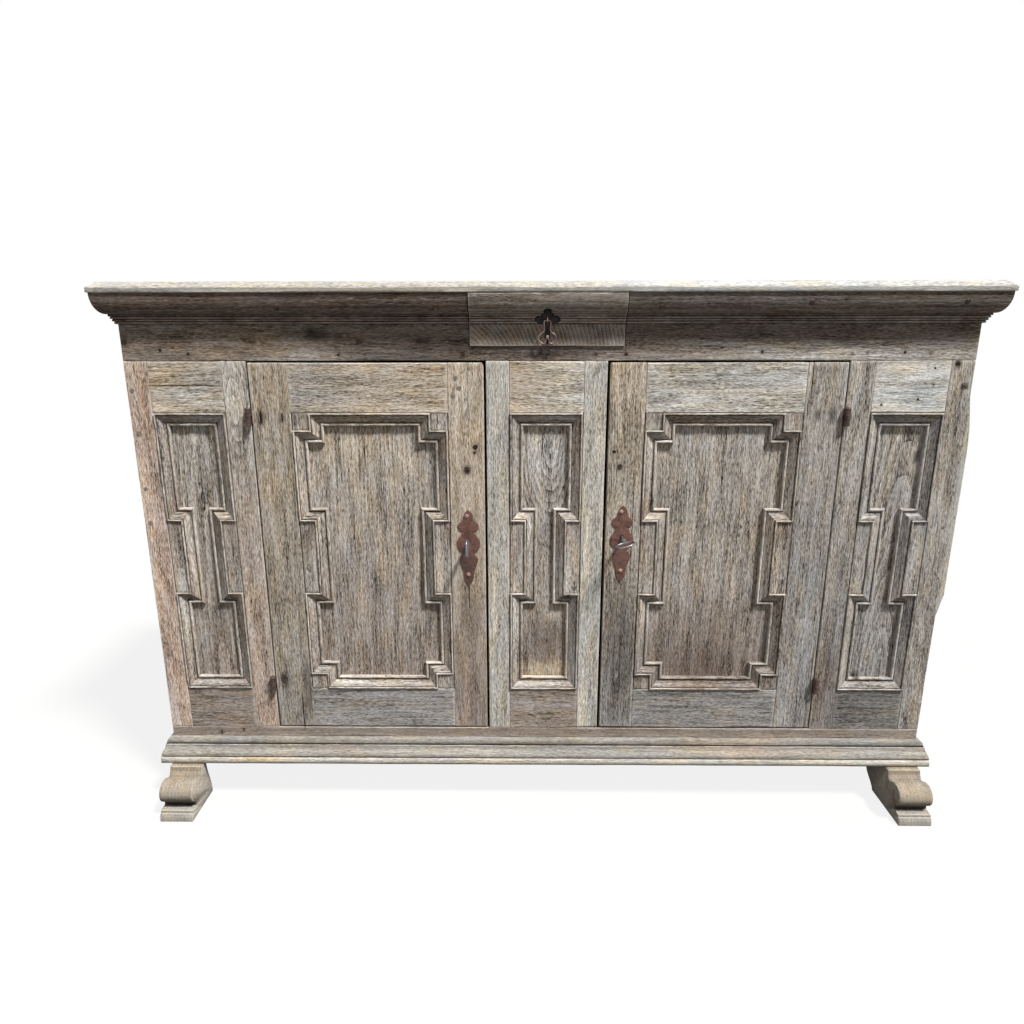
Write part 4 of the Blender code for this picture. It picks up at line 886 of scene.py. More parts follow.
def stepped_outline(x0, x1, z0, z1, block, block_height, c):
    """Outer line of the moulding, anticlockwise, round the oblong blocks and, where c isn't 0, corner blocks.
    """
    low = (z0 + z1 - block_height) / 2
    high = low + block_height
    right = [(x1, low), (x1 - block, low), (x1 - block, high), (x1, high)]
    left = [(x0, high), (x0 + block, high), (x0 + block, low), (x0, low)]
    if not c:
        return np.array([(x0, z0), (x1, z0), *right, (x1, z1), (x0, z1), *left])
    return np.array([
        (x0, z0 + c), (x0 + c, z0 + c), (x0 + c, z0), (x1 - c, z0), (x1 - c, z0 + c), (x1, z0 + c), *right,
        (x1, z1 - c), (x1 - c, z1 - c), (x1 - c, z1), (x0 + c, z1), (x0 + c, z1 - c), (x0, z1 - c), *left,
    ])


def cornice_face(form):
    """Face of the cornice from its foot up: half round beads, each set further out, a fillet, and an ovolo.
    """
    shelf = CORNICE_TOP - form.cornice_ovolo
    toe = form.cornice_quirk
    step = form.cornice_step - form.cornice_quirk
    quirk = 0.0004
    bead = form.cornice_bead / 2 - quirk
    turn = np.linspace(-np.pi / 2, np.pi / 2, 9)
    line = [(toe, FRIEZE_TOP)]
    for index in range(CORNICE_BEADS):
        centre = FRIEZE_TOP + form.cornice_bead * (index + 0.5)
        out = toe + (step - toe) * (0.15 + 0.25 * index)
        line += [(out - bead / 2, centre - bead - quirk / 2)]
        line += list(zip(out + 0.8 * bead * np.cos(turn), centre + bead * np.sin(turn)))
        line += [(out - bead / 4, centre + bead + quirk / 2)]
    line += [(step, FRIEZE_TOP + form.cornice_bead * CORNICE_BEADS + quirk), (step, shelf)]
    turn = np.linspace(-np.pi / 2, 0, 14)
    reach = CORNICE_PROJECTION - form.cornice_step
    ovolo = np.column_stack([
        form.cornice_step + reach * np.cos(turn), CORNICE_TOP - 0.0005 + form.cornice_ovolo * np.sin(turn),
    ])
    return np.vstack([line, ovolo])


def paint_quirk_shade_and_bead_highlight(form, shell):
    """Shell with painted shade in the quirks below, between and above the cornice's beads, and a painted
    highlight that makes the beads paler.
    """
    z = shell.points[:, 2]
    highlit_beads = (z > FRIEZE_TOP) & (z < FRIEZE_TOP + form.cornice_bead * CORNICE_BEADS)
    # Painted highlight on the beads
    shell.tone = shell.tone * np.where(highlit_beads, 1.6, 1.0)[:, None]
    # Painted shade in the quirks
    for level in FRIEZE_TOP + form.cornice_bead * np.arange(CORNICE_BEADS + 1):
        shell.wear_and_shade = shell.wear_and_shade - 1.1 * np.exp(-((z - level) / 0.0009) ** 2)
    return shell


def plinth_ring(form, inner):
    """Section of the plinth moulding: a bead, a fillet, half a cosine wave, a fillet and a band with a round
    nose.
    """
    top = SILL_TOP - form.sill
    cyma_top = top - form.plinth_bead - 2 * form.plinth_fillet
    fascia = PLINTH_BOTTOM + form.plinth_fascia
    turn = np.linspace(np.pi / 2, 0, 10)
    bead = np.column_stack([form.plinth_bead * np.cos(turn), top - form.plinth_bead * (1 - np.sin(turn))])
    share = np.linspace(0, 1, 14)
    swell = (1 - np.cos(np.pi * share)) / 2
    wave = np.column_stack([
        form.plinth_cyma_start + (form.plinth_cyma_end - form.plinth_cyma_start) * swell,
        cyma_top + (fascia + form.plinth_fillet - cyma_top) * share,
    ])
    turn = np.linspace(np.pi / 2, -np.pi / 2, 12)
    half = form.plinth_fascia / 2
    band = np.column_stack([
        PLINTH_PROJECTION - form.plinth_nose * (1 - np.cos(turn)), PLINTH_BOTTOM + half + half * np.sin(turn),
    ])
    outline = np.vstack([
        bead,
        [
            (form.plinth_bead, cyma_top + form.plinth_fillet),
            (form.plinth_cyma_start, cyma_top + form.plinth_fillet),
        ],
        wave, [(form.plinth_cyma_end, fascia)], band, [(inner, PLINTH_BOTTOM), (inner, top)],
    ])
    return eased(np.column_stack([np.maximum(outline[:, 0], inner), outline[:, 1]]))


def foot_ring(heel, back, sweep):
    """Side of a front foot, as distance in front of the face and height: collar, roll, groove, toe and heel.

    The roll is an ellipse from the collar's quirk over the top and nose to the groove. The rear sweeps as
    half a cosine wave from the heel to its place under the plinth.
    """
    roll_y, roll_z, roll_length, roll_height = 0.0665, 0.0535, 0.0255, 0.0228
    turn = np.radians(np.linspace(130, -68, 34))
    roll = np.column_stack([roll_y + roll_length * np.cos(turn), roll_z + roll_height * np.sin(turn)])
    collar = [(-back, FOOT_HEIGHT), (0.033, FOOT_HEIGHT), (0.035, 0.078), (0.041, 0.0685)]
    groove = [(0.0745, 0.0315), (0.0735, FOOT_GROOVE), (0.0920, 0.0228), (0.0935, 0.0193), (0.0922, 0.0181)]
    toe = [(0.0955, 0.0168), (0.0985, 0.0105), (0.0998, 0.0040), (0.1000, 0.0)]
    share = np.linspace(0, 1, 14)[:-1]
    swept = (1 - np.cos(np.pi * np.clip(share / sweep, 0, 1))) / 2
    rear = np.column_stack([-heel - (back - heel) * swept, FOOT_HEIGHT * share])
    return eased(np.vstack([collar, roll, groove, toe, rear]), 0.0008, 3)


# Finishes


def add_node(tree, kind, inputs=None, **settings):
    """Node with its settings, its inputs set to values or linked to other nodes' outputs."""
    made = tree.nodes.new(kind)
    for key, value in settings.items():
        setattr(made, key, value)
    for key, value in (inputs or {}).items():
        if isinstance(value, bpy.types.NodeSocket):
            tree.links.new(value, made.inputs[key])
        else:
            made.inputs[key].default_value = value
    return made


def new_material(name):
    material = bpy.data.materials.new(name)
    material.use_nodes = True
    material.node_tree.nodes.clear()
    return material, material.node_tree


def weathered_oak(name, fibre=1.0, rings=0.35, pores=0.55, patches=0.85):
    """Oak, sawn and planed by hand, lyed and left to weather: open pores, raised fibres, no polish at all.

    To the eye: pale and dark fibre streaks along the board, short black dashes of open pores, faint growth
    rings, warm and cool patches, bone coloured arrises, painted shade that blackens inner corners, and a dead
    matt surface.
    """
    oak = bpy.context.scene.sideboard_oak
    material, tree = new_material(name)
    place = add_node(tree, "ShaderNodeAttribute", attribute_name="grain").outputs["Vector"]
    tone_of = add_node(tree, "ShaderNodeAttribute", attribute_name="tone")
    tone = tone_of.outputs["Color"]
    wear_and_shade = add_node(tree, "ShaderNodeAttribute", attribute_name="wear_and_shade").outputs["Fac"]
    heart = add_node(tree, "ShaderNodeAttribute", attribute_name="heart").outputs["Vector"]
    strength = add_node(tree, "ShaderNodeSeparateXYZ", {0: heart}).outputs["Z"]
    strength = add_node(tree, "ShaderNodeMath", {0: strength, 1: 1.0}, operation="ADD").outputs[0]

    # Fibres don't run quite straight: a slow noise shifts the place across the board
    slow = add_node(tree, "ShaderNodeVectorMath", {0: place, 1: (14.0, 14.0, 4.5)}, operation="MULTIPLY")
    drift = add_node(tree, "ShaderNodeTexNoise", {"Vector": slow.outputs[0], "Scale": 1.0, "Detail": 0.5})
    shift = add_node(
        tree, "ShaderNodeVectorMath", {0: drift.outputs["Color"], 1: (0.5, 0.5, 0.5)}, operation="SUBTRACT",
    )
    shift = add_node(
        tree, "ShaderNodeVectorMath", {0: shift.outputs[0], 1: (0.009, 0.009, 0.0)}, operation="MULTIPLY",
    )
    place = add_node(tree, "ShaderNodeVectorMath", {0: place, 1: shift.outputs[0]}).outputs[0]

    def streaks(width, length, detail, low, high):
        """Noise drawn out along the board, spread over 0 to 1 between two levels."""
        stretch = (1 / width, 1 / width, 1 / length)
        scaled = add_node(tree, "ShaderNodeVectorMath", {0: place, 1: stretch}, operation="MULTIPLY")
        noise = add_node(tree, "ShaderNodeTexNoise", {
            "Vector": scaled.outputs[0], "Scale": 1.0, "Detail": detail, "Roughness": 0.6,
        })
        return add_node(tree, "ShaderNodeMapRange", {
            "Value": noise.outputs["Fac"], "From Min": low, "From Max": high,
        }).outputs["Result"]

    fibres = streaks(oak.fibre_width, oak.fibre_length, 2.0, 0.30, 0.70)
    bands = streaks(oak.streak_width, oak.streak_length, 1.0, 0.32, 0.68)
    dashes = streaks(oak.pore_width, oak.pore_length, 1.0, 0.60, 0.70)
    flecks = streaks(oak.pore_width * 1.1, oak.pore_length * 1.6, 1.0, 0.60, 0.72)
    patch = streaks(oak.patch_width * 0.6, oak.patch_length * 1.4, 1.0, 0.3, 0.7)
    cool = streaks(oak.patch_width * 0.9, oak.patch_length * 1.3, 1.0, 0.42, 0.68)
    warm = streaks(oak.patch_width * 0.7, oak.patch_length * 0.8, 1.0, 0.45, 0.70)
    ring_place = add_node(tree, "ShaderNodeVectorMath", {0: place, 1: heart}).outputs[0]
    growth = add_node(tree, "ShaderNodeTexWave", {
        "Vector": ring_place, "Scale": 0.314 / oak.ring_spacing, "Distortion": 2.5, "Detail": 2.0,
        "Detail Scale": 0.6,
    }, wave_type="RINGS", rings_direction="Z", wave_profile="SAW").outputs["Fac"]
    late = add_node(tree, "ShaderNodeMath", {0: growth, 1: -0.5}, operation="ADD").outputs[0]
    late = add_node(tree, "ShaderNodeMath", {
        0: late, 1: tone_of.outputs["Alpha"], 2: 0.5,
    }, operation="MULTIPLY_ADD").outputs[0]

    def mixed(share, first, second):
        return add_node(tree, "ShaderNodeMix", {0: share, 6: first, 7: second}, data_type="RGBA").outputs[2]

    def times(value, by, clamp=False):
        return add_node(
            tree, "ShaderNodeMath", {0: value, 1: by}, operation="MULTIPLY", use_clamp=clamp,
        ).outputs[0]

    # Lightness: 1 plus each figure's swing about its middle, and the paler the greyer
    level = None
    for figure, swing in (
        (fibres, 1.55 * fibre), (bands, 0.60 * fibre), (late, rings), (patch, 0.7 * patches),
    ):
        centred = add_node(tree, "ShaderNodeMath", {0: figure, 1: -0.5}, operation="ADD").outputs[0]
        centred = add_node(tree, "ShaderNodeMath", {0: centred, 1: strength}, operation="MULTIPLY").outputs[0]
        level = add_node(tree, "ShaderNodeMath", {
            0: centred, 1: swing, 2: 1.0 if level is None else level,
        }, operation="MULTIPLY_ADD").outputs[0]
    shaded = add_node(tree, "ShaderNodeVectorMath", {0: tone, "Scale": level}, operation="SCALE").outputs[0]
    paler = add_node(tree, "ShaderNodeMath", {0: level, 1: -0.9}, operation="ADD").outputs[0]
    greyed = add_node(tree, "ShaderNodeRGBToBW", {0: shaded}).outputs[0]
    shaded = mixed(times(paler, 0.7, True), shaded, greyed)
    cooled = add_node(
        tree, "ShaderNodeVectorMath", {0: shaded, 1: (0.92, 0.965, 1.02)}, operation="MULTIPLY",
    ).outputs[0]
    warmed = add_node(
        tree, "ShaderNodeVectorMath", {0: shaded, 1: (1.13, 1.05, 0.91)}, operation="MULTIPLY",
    ).outputs[0]

    rubbed = (*oak.rubbed, 1.0)
    grime_and_shade = (*oak.grime_and_shade, 1.0)
    coloured = mixed(times(cool, 0.8), shaded, cooled)
    coloured = mixed(times(warm, 0.85), coloured, warmed)
    coloured = mixed(times(flecks, 0.34), coloured, rubbed)
    coloured = mixed(times(dashes, pores), coloured, grime_and_shade)
    broken = add_node(tree, "ShaderNodeMath", {0: fibres, 1: 0.35}, operation="ADD").outputs[0]
    coloured = mixed(times(times(wear_and_shade, broken), 0.75, True), coloured, rubbed)
    # Below zero the wear attribute holds stains and painted shade in corners, quirks and under the feet, mixed
    # towards the dark colour
    coloured = mixed(times(wear_and_shade, -0.8, True), coloured, grime_and_shade)

    # Relief: fibres stand up, pores are open, late wood stands proud
    height = add_node(
        tree, "ShaderNodeMath", {0: dashes, 1: -0.8, 2: fibres}, operation="MULTIPLY_ADD",
    ).outputs[0]
    height = add_node(
        tree, "ShaderNodeMath", {0: growth, 1: 0.3, 2: height}, operation="MULTIPLY_ADD",
    ).outputs[0]
    bump = add_node(tree, "ShaderNodeBump", {"Height": height, "Strength": 0.55, "Distance": 0.0009})
    shader = add_node(tree, "ShaderNodeBsdfPrincipled", {
        "Base Color": coloured, "Roughness": 0.86, "Specular IOR Level": 0.18, "Normal": bump.outputs[0],
    })
    add_node(tree, "ShaderNodeOutputMaterial", {"Surface": shader.outputs[0]})
    return material


def rusted_iron(name, colour_of, metallic, roughness, speck):
    """Wrought iron, forged and left to rust: a mottled skin, matt where it rusts and dull where it is
    handled.

    The mottling is in two sizes, patches of about 9 mm and specks, drawn at about 1.5 mm so that they show.
    Its colour is one colour, or where none is given each piece's own tone, and it goes down to a dark scale.
    """
    material, tree = new_material(name)
    place = add_node(tree, "ShaderNodeTexCoord").outputs["Object"]
    if colour_of is None:
        bare = add_node(tree, "ShaderNodeAttribute", attribute_name="tone").outputs["Color"]
    else:
        bare = (*colour_of, 1.0)
    blotches = add_node(tree, "ShaderNodeTexNoise", {
        "Vector": place, "Scale": 1 / 0.009, "Detail": 4.0, "Roughness": 0.65,
    })
    specks = add_node(tree, "ShaderNodeTexNoise", {"Vector": place, "Scale": 1 / 0.0015, "Detail": 2.0})
    mottle = add_node(tree, "ShaderNodeMath", {
        0: specks.outputs["Fac"], 1: speck, 2: blotches.outputs["Fac"],
    }, operation="MULTIPLY_ADD").outputs[0]
    share = add_node(tree, "ShaderNodeMapRange", {
        "Value": mottle, "From Min": 0.30 + speck / 2, "From Max": 0.60 + speck / 2, "To Min": 0.35,
        "To Max": 1.15,
    }).outputs["Result"]
    coloured = add_node(tree, "ShaderNodeMix", {
        0: 1.0, 6: bare, 7: share,
    }, data_type="RGBA", blend_type="MULTIPLY").outputs[2]
    matt = add_node(tree, "ShaderNodeMapRange", {
        "Value": mottle, "From Min": 0.30 + speck / 2, "From Max": 0.60 + speck / 2,
        "To Min": roughness + 0.12, "To Max": roughness - 0.08,
    }).outputs["Result"]
    bump = add_node(tree, "ShaderNodeBump", {"Height": mottle, "Strength": 0.4, "Distance": 0.0005})
    shader = add_node(tree, "ShaderNodeBsdfPrincipled", {
        "Base Color": coloured, "Metallic": metallic, "Roughness": matt, "Normal": bump.outputs[0],
    })
    add_node(tree, "ShaderNodeOutputMaterial", {"Surface": shader.outputs[0]})
    return material


def finish_of(slot):
    """Material of one of the record's slots, made the first time that it is asked for."""
    iron = bpy.context.scene.sideboard_iron
    names = {
        "oak_frame": "Weathered oak frame",
        "oak_panel": "Weathered oak panel",
        "oak_cornice": "Smoked oak cornice",
        "oak_pale": "Bleached oak",
        "oak_inside": "Raw oak inside",
        "iron_rusty": "Rusted wrought iron",
        "iron_dark": "Handled wrought iron",
        "iron_plain": "Forged lock iron",
    }
    name = names[slot]
    made = bpy.data.materials.get(name)
    if made is not None:
        return made
    if slot == "oak_frame":
        return weathered_oak(name)
    if slot == "oak_panel":
        return weathered_oak(name, fibre=1.05, rings=0.45, patches=1.0)
    if slot == "oak_cornice":
        return weathered_oak(name, fibre=0.8, rings=0.7, pores=0.5)
    if slot == "oak_pale":
        return weathered_oak(name, fibre=0.55, rings=0.2, pores=0.3, patches=0.3)
    if slot == "oak_inside":
        return weathered_oak(name, fibre=0.6, rings=0.5, pores=0.35, patches=0.4)
    if slot == "iron_rusty":
        return rusted_iron(name, None, 0.2, 0.66, 0.5)
    if slot == "iron_plain":
        return rusted_iron(name, iron.scale, 0.6, 0.55, 0.35)
    return rusted_iron(name, None, 0.75, 0.42, 0.3)


# Operators, one for each piece or group of like pieces


class SIDEBOARD_OT_stage(bpy.types.Operator):
    """Pale floor, key light, weak side light, light from all round, and the camera at the photograph's angle
    """
    bl_idname = "sideboard.stage"
    bl_label = "Stage"

    def execute(self, context):
        scene = context.scene
        stage = scene.sideboard_stage
        scene.view_settings.view_transform = "Standard"
        self.add_camera(scene, stage)
        self.add_light(scene, stage)
        self.add_floor(scene, stage)
        return {"FINISHED"}

    def add_camera(self, scene, stage):
        """Camera axes from yaw, pitch and roll: forward first, then right and up turned by the roll."""
        yaw, pitch, roll = stage.turn
        ahead = np.array((math.sin(yaw) * math.cos(pitch), math.cos(yaw) * math.cos(pitch), -math.sin(pitch)))
        right = np.array((math.cos(yaw), -math.sin(yaw), 0.0))
        up = np.cross(right, ahead)
        across = math.cos(roll) * right + math.sin(roll) * up
        upward = math.cos(roll) * up - math.sin(roll) * right
        data = bpy.data.cameras.new("camera")
        data.lens = stage.lens
        data.sensor_width = 36.0
        camera = bpy.data.objects.new("camera", data)
        scene.collection.objects.link(camera)
        camera.matrix_world = Matrix(np.vstack([
            np.column_stack([across, upward, -ahead, np.array(stage.eye)]), (0.0, 0.0, 0.0, 1.0),
        ]).tolist())
        scene.camera = camera

    def add_light(self, scene, stage):
        for name, strength, softness, path in (
            ("key_light", stage.sun_strength, stage.sun_softness, stage.sun_path),
            ("side_light", stage.side_strength, stage.side_softness, stage.side_path),
        ):
            data = bpy.data.lights.new(name, "SUN")
            data.energy = strength
            data.angle = softness
            light = bpy.data.objects.new(name, data)
            light.rotation_mode = "QUATERNION"
            light.rotation_quaternion = path.to_track_quat("-Z", "Y")
            scene.collection.objects.link(light)
        world = bpy.data.worlds.new("studio")
        world.use_nodes = True
        tree = world.node_tree
        tree.nodes.clear()
        seen = self.seen_directly(tree)
        fill = add_node(tree, "ShaderNodeBackground", {"Color": (1.0, 1.0, 1.0, 1.0), "Strength": stage.fill})
        white = add_node(tree, "ShaderNodeBackground", {"Color": (1.0, 1.0, 1.0, 1.0), "Strength": 1.0})
        mix = add_node(tree, "ShaderNodeMixShader", {0: seen, 1: fill.outputs[0], 2: white.outputs[0]})
        add_node(tree, "ShaderNodeOutputWorld", {"Surface": mix.outputs[0]})
        scene.world = world

    def add_floor(self, scene, stage):
        material, tree = new_material("Pale studio floor")
        seen = self.seen_directly(tree)
        share = add_node(
            tree, "ShaderNodeMath", {0: seen, 1: stage.floor_glow}, operation="MULTIPLY",
        ).outputs[0]
        coat = add_node(tree, "ShaderNodeMix", {
            0: seen, 6: (*stage.floor_bounce, 1.0), 7: (*stage.floor, 1.0),
        }, data_type="RGBA").outputs[2]
        matt = add_node(tree, "ShaderNodeBsdfDiffuse", {"Color": coat})
        glow = add_node(tree, "ShaderNodeEmission", {"Color": (1.0, 1.0, 1.0, 1.0), "Strength": 1.0})
        mix = add_node(tree, "ShaderNodeMixShader", {0: share, 1: matt.outputs[0], 2: glow.outputs[0]})
        add_node(tree, "ShaderNodeOutputMaterial", {"Surface": mix.outputs[0]})
        reach = 30.0
        mesh = bpy.data.meshes.new("floor")
        mesh.from_pydata(
            [(-reach, -reach, 0), (reach, -reach, 0), (reach, reach, 0), (-reach, reach, 0)], [],
            [(0, 1, 2, 3)],
        )
        mesh.materials.append(material)
        floor = bpy.data.objects.new("floor", mesh)
        scene.collection.objects.link(floor)

    def seen_directly(self, tree):
        """1 for rays from the camera and for those in a reflection or through glass."""
        path = add_node(tree, "ShaderNodeLightPath")
        shown = add_node(tree, "ShaderNodeMath", {
            0: path.outputs["Is Camera Ray"], 1: path.outputs["Is Glossy Ray"],
        }, operation="ADD").outputs[0]
        return add_node(tree, "ShaderNodeMath", {
            0: shown, 1: path.outputs["Is Transmission Ray"],
        }, operation="ADD", use_clamp=True).outputs[0]


# Bow of the right post: its upper end and the run of its swell, its lower end and the run of the cut, its
# depth
BOW_TOP = 0.872
BOW_SWELL = 0.11
BOW_END = 0.425
BOW_CUT = 0.045
BOW_DEPTH = 0.011


def bowed_edge(z):
    """Outer line of the right post, which bows out over its middle and is cut off askew at the lower end."""
    rise = np.clip((BOW_TOP - z) / BOW_SWELL, 0, 1)
    cut = np.clip((z - BOW_END) / BOW_CUT, 0, 1)
    return HALF + BOW_DEPTH * np.sin(np.pi / 2 * rise) * cut


class SIDEBOARD_OT_frame_boards(bpy.types.Operator):
    """Posts, stiles and rails of the front frame and of both doors"""
    bl_idname = "sideboard.frame_boards"
    bl_label = "Frame boards"

    def execute(self, context):
        oak = context.scene.sideboard_oak
        for name, left, right, body, _ in SECTIONS:
            for node in (left, right):
                low, high = (corner.copy() for corner in BOX[node])
                if body == "carcass":
                    low[2], high[2] = SILL_TOP, FRIEZE_BOTTOM
                else:
                    low[2], high[2] = low[2] + DOOR_LIFT, high[2] - DOOR_DROP
                self.add_board(oak, node, low, high, 2, 0, body)
            for node in (f"{name}_top_rail", f"{name}_bottom_rail"):
                low, high = (corner.copy() for corner in BOX[node])
                low[0], high[0] = BOX[left][1][0], BOX[right][0][0]
                if body != "carcass" and node.endswith("top_rail"):
                    high[2] -= DOOR_DROP
                elif body != "carcass":
                    low[2] += DOOR_LIFT
                self.add_board(oak, node, low, high, 0, 2, body)
        return {"FINISHED"}

    def add_board(self, oak, node, low, high, along, across, body):
        rng = seeded(node)
        left, right = SHAVED.get(node, (0.0, 0.0))
        low[0] += left
        high[0] -= right
        bulge = bowed_edge if node == "front_right_post" else None
        shell = board(
            oak, low, high, along, across, tones_of(oak, node), rng, top=bulge, pith=PITH.get(node),
            figure=FIGURE.get(node, 1.0),
        )
        shell.rings = ring_strength(node, shell)
        x, _, z = shell.points.T
        if bulge:
            pale = np.clip((x - HALF + 0.001) / 0.003, 0, 1)[:, None] * 0.85
            shell.tone = shell.tone * (1 - pale) + np.array(oak.bleached) * pale
            shell.heart[:, 2] -= 0.8 * pale[:, 0]
        if node == "left_door_lock_stile":
            rounding = 0.006
            rise = np.clip(z - high[2] + rounding, 0, rounding)
            shell.points[:, 0] = np.minimum(x, high[0] - rounding + np.sqrt(rounding ** 2 - rise ** 2))
        add_piece(f"{node}_oak", [stained(oak, node, shell)], "oak_frame", body, [node])


class SIDEBOARD_OT_panels(bpy.types.Operator):
    """Panels: a sunk field, the blocks level with the frame, and the moulding that steps round them"""
    bl_idname = "sideboard.panels"
    bl_label = "Moulded panels"

    def execute(self, context):
        scene = context.scene
        for name, left, right, body, corners in SECTIONS:
            node = f"{name}_panel"
            rng = seeded(node)
            x0, x1 = BOX[left][1][0], BOX[right][0][0]
            z0, z1 = BOX[f"{name}_bottom_rail"][1][2], BOX[f"{name}_top_rail"][0][2]
            shells = self.panel_shells(scene, node, rng, (x0, x1, z0, z1), corners)
            shells = [stained(scene.sideboard_oak, node, shell) for shell in shells]
            add_piece(f"{node}_oak", shells, "oak_panel", body, [node])
        return {"FINISHED"}

    def panel_shells(self, scene, node, rng, limits, corners):
        oak, form = scene.sideboard_oak, scene.sideboard_form
        x0, x1, z0, z1 = limits
        tones = tones_of(oak, node)
        front = FACE + form.recess
        shells = [board(
            oak, (x0, front, z0), (x1, front + form.field_thickness, z1), 2, 0, tones, rng,
            pith=PITH.get(node),
        )]
        shells[0].rings = ring_strength(node, shells[0])
        x0, x1, z0, z1 = x0 + form.slit, x1 - form.slit, z0 + form.slit / 2, z1 - form.slit / 2
        c = form.corner_block if corners else 0.0
        block = form.door_mid_block if corners else form.bay_mid_block
        middle = (z0 + z1) / 2
        spans = [(x0, x0 + block), (x1 - block, x1)]
        places = [
            (*span, middle - form.mid_block_height / 2, middle + form.mid_block_height / 2) for span in spans
        ]
        if corners:
            places += [
                (*span, *rise) for span in ((x0, x0 + c), (x1 - c, x1))
                for rise in ((z0, z0 + c), (z1 - c, z1))
            ]
        for low_x, high_x, low_z, high_z in places:
            shade = rng.uniform(0.95, 1.2)
            block_shell = board(
                oak, (low_x, FACE, low_z), (high_x, front + 0.0005, high_z), 2, 0,
                [tone * shade for tone in tones[::-1]],
                rng, columns=BLOCK_COLUMNS, station=0.003,
            )
            x, _, z = block_shell.points.T
            rim = np.minimum(np.minimum(x - low_x, high_x - x), np.minimum(z - low_z, high_z - z))
            # Darker rim round each block: a dark joint, and painted shade in the corner against the proud
            # moulding
            block_shell.wear_and_shade = block_shell.wear_and_shade * 0.4 - 0.75 * np.exp(-rim / 0.0012)
            shells.append(block_shell)
        outline = stepped_outline(x0, x1, z0, z1, block, form.mid_block_height, c)
        return shells + self.moulding_shells(oak, form, outline, tones, rng)

    def moulding_shells(self, oak, form, outline, tones, rng):
        """A mitred strip on each edge of the outline: each corner's mitre is the sum of its edges' inward
        normals.
        """
        ring = moulding_ring(form)
        edges = np.roll(outline, -1, axis=0) - outline
        normals = np.column_stack([-edges[:, 1], edges[:, 0]]) / np.linalg.norm(edges, axis=1)[:, None]
        mitres = normals + np.roll(normals, 1, axis=0)
        shells = []
        for index, (x, z) in enumerate(outline):
            after = (index + 1) % len(outline)
            ends = [(x, FACE, z), (outline[after, 0], FACE, outline[after, 1])]
            leans = [(mitres[place, 0], 0.0, mitres[place, 1]) for place in (index, after)]
            shade = rng.uniform(0.95, 1.2)
            toned = [tone * shade for tone in tones[::-1]]
            shells.append(strip(oak, ring, ends, leans, Y_AXIS, toned, rng, chip=0.0022))
        return shells


class SIDEBOARD_OT_top_and_cornice(bpy.types.Operator):
    """Top planks with their rounded edge, the cornice in four mitred lengths, and the frieze rail"""
    bl_idname = "sideboard.top_and_cornice"
    bl_label = "Top and cornice"

    def execute(self, context):
        scene = context.scene
        oak, form = scene.sideboard_oak, scene.sideboard_form
        self.add_top(oak, form)
        self.add_cornice(oak, form)
        self.add_frieze(oak)
        return {"FINISHED"}

    def add_top(self, oak, form):
        """Planks whose upper limit falls, over the rounding, from the top's level to the lip as a quarter
        ellipse.
        """
        rng = seeded("top_board")
        front = BOX["top_board"][0][1]
        rise = TOP - CORNICE_TOP - form.top_lip

        def drop(distance):
            inward = np.clip(1 - distance / form.top_rounding, 0, 1)
            return rise * (1 - np.sqrt(1 - inward ** 2))

        shells = planks(
            oak, (-OVERHANG, front, CORNICE_TOP), (OVERHANG, BACK, TOP), 0, 1, 3, tones_of(oak, "top_board"),
            rng,
            columns=(6, 2, 18, 2),
        )
        for shell in shells:
            x, y, z = shell.points.T
            inward = np.minimum(OVERHANG - np.abs(x), y - front)
            limit = TOP - np.maximum(drop(OVERHANG - np.abs(x)), drop(y - front))
            short = np.clip(1 - inward / form.top_under, 0, 1)
            under = CORNICE_TOP + form.top_under * (1 - np.sqrt(1 - short ** 2))
            shell.points[:, 2] = np.clip(z, under, np.maximum(limit, under))
        shells = [stained(oak, "top_board", shell) for shell in shells]
        add_piece("top_board_oak", shells, "oak_pale", "carcass", ["top_board"])

    def add_cornice(self, oak, form):
        face = cornice_face(form)
        inner, sunk = 0.0005, CORNICE_TOP + 0.0015
        ring = eased(
            np.vstack([[(inner, FRIEZE_TOP)], face, [(face[-1, 0], sunk), (inner, sunk)]]), 0.0007, 1,
        )
        for side, hand in ((-1, "left"), (1, "right")):
            corner = (side * HALF, FACE, 0.0)
            mitre = (side, -1.0, 0.0)
            for node, end, lean in (
                (f"cornice_front_{hand}", (side * DRAWER_HALF, FACE, 0.0), -Y_AXIS),
                (f"cornice_{hand}", (side * HALF, BACK, 0.0), side * X_AXIS),
            ):
                length = np.linalg.norm(np.subtract(end, corner))
                shell = strip(
                    oak, ring, (corner, end), (mitre, lean), Z_AXIS,
                    tones_of(oak, node if node in BOARD_TONES else "cornice"), seeded(node),
                    places=np.linspace(0, 1, int(length / oak.long_station)),
                )
                add_piece(f"{node}_oak", [paint_quirk_shade_and_bead_highlight(form, shell)], "oak_cornice", "carcass", [node])

    def add_frieze(self, oak):
        low, high = BOX["frieze_rail"]
        rng = seeded("frieze_rail")
        shell = board(
            oak, low, high, 0, 2, tones_of(oak, "frieze_rail"), rng, columns=(16, 2, 4, 2),
            top=lambda x: np.where(np.abs(x) < DRAWER_HALF, DRAWER_SILL, high[2]),
            cuts=(-DRAWER_HALF, DRAWER_HALF),
        )
        add_piece(
            "frieze_rail_oak", [stained(oak, "frieze_rail", shell)], "oak_frame", "carcass", ["frieze_rail"],
        )


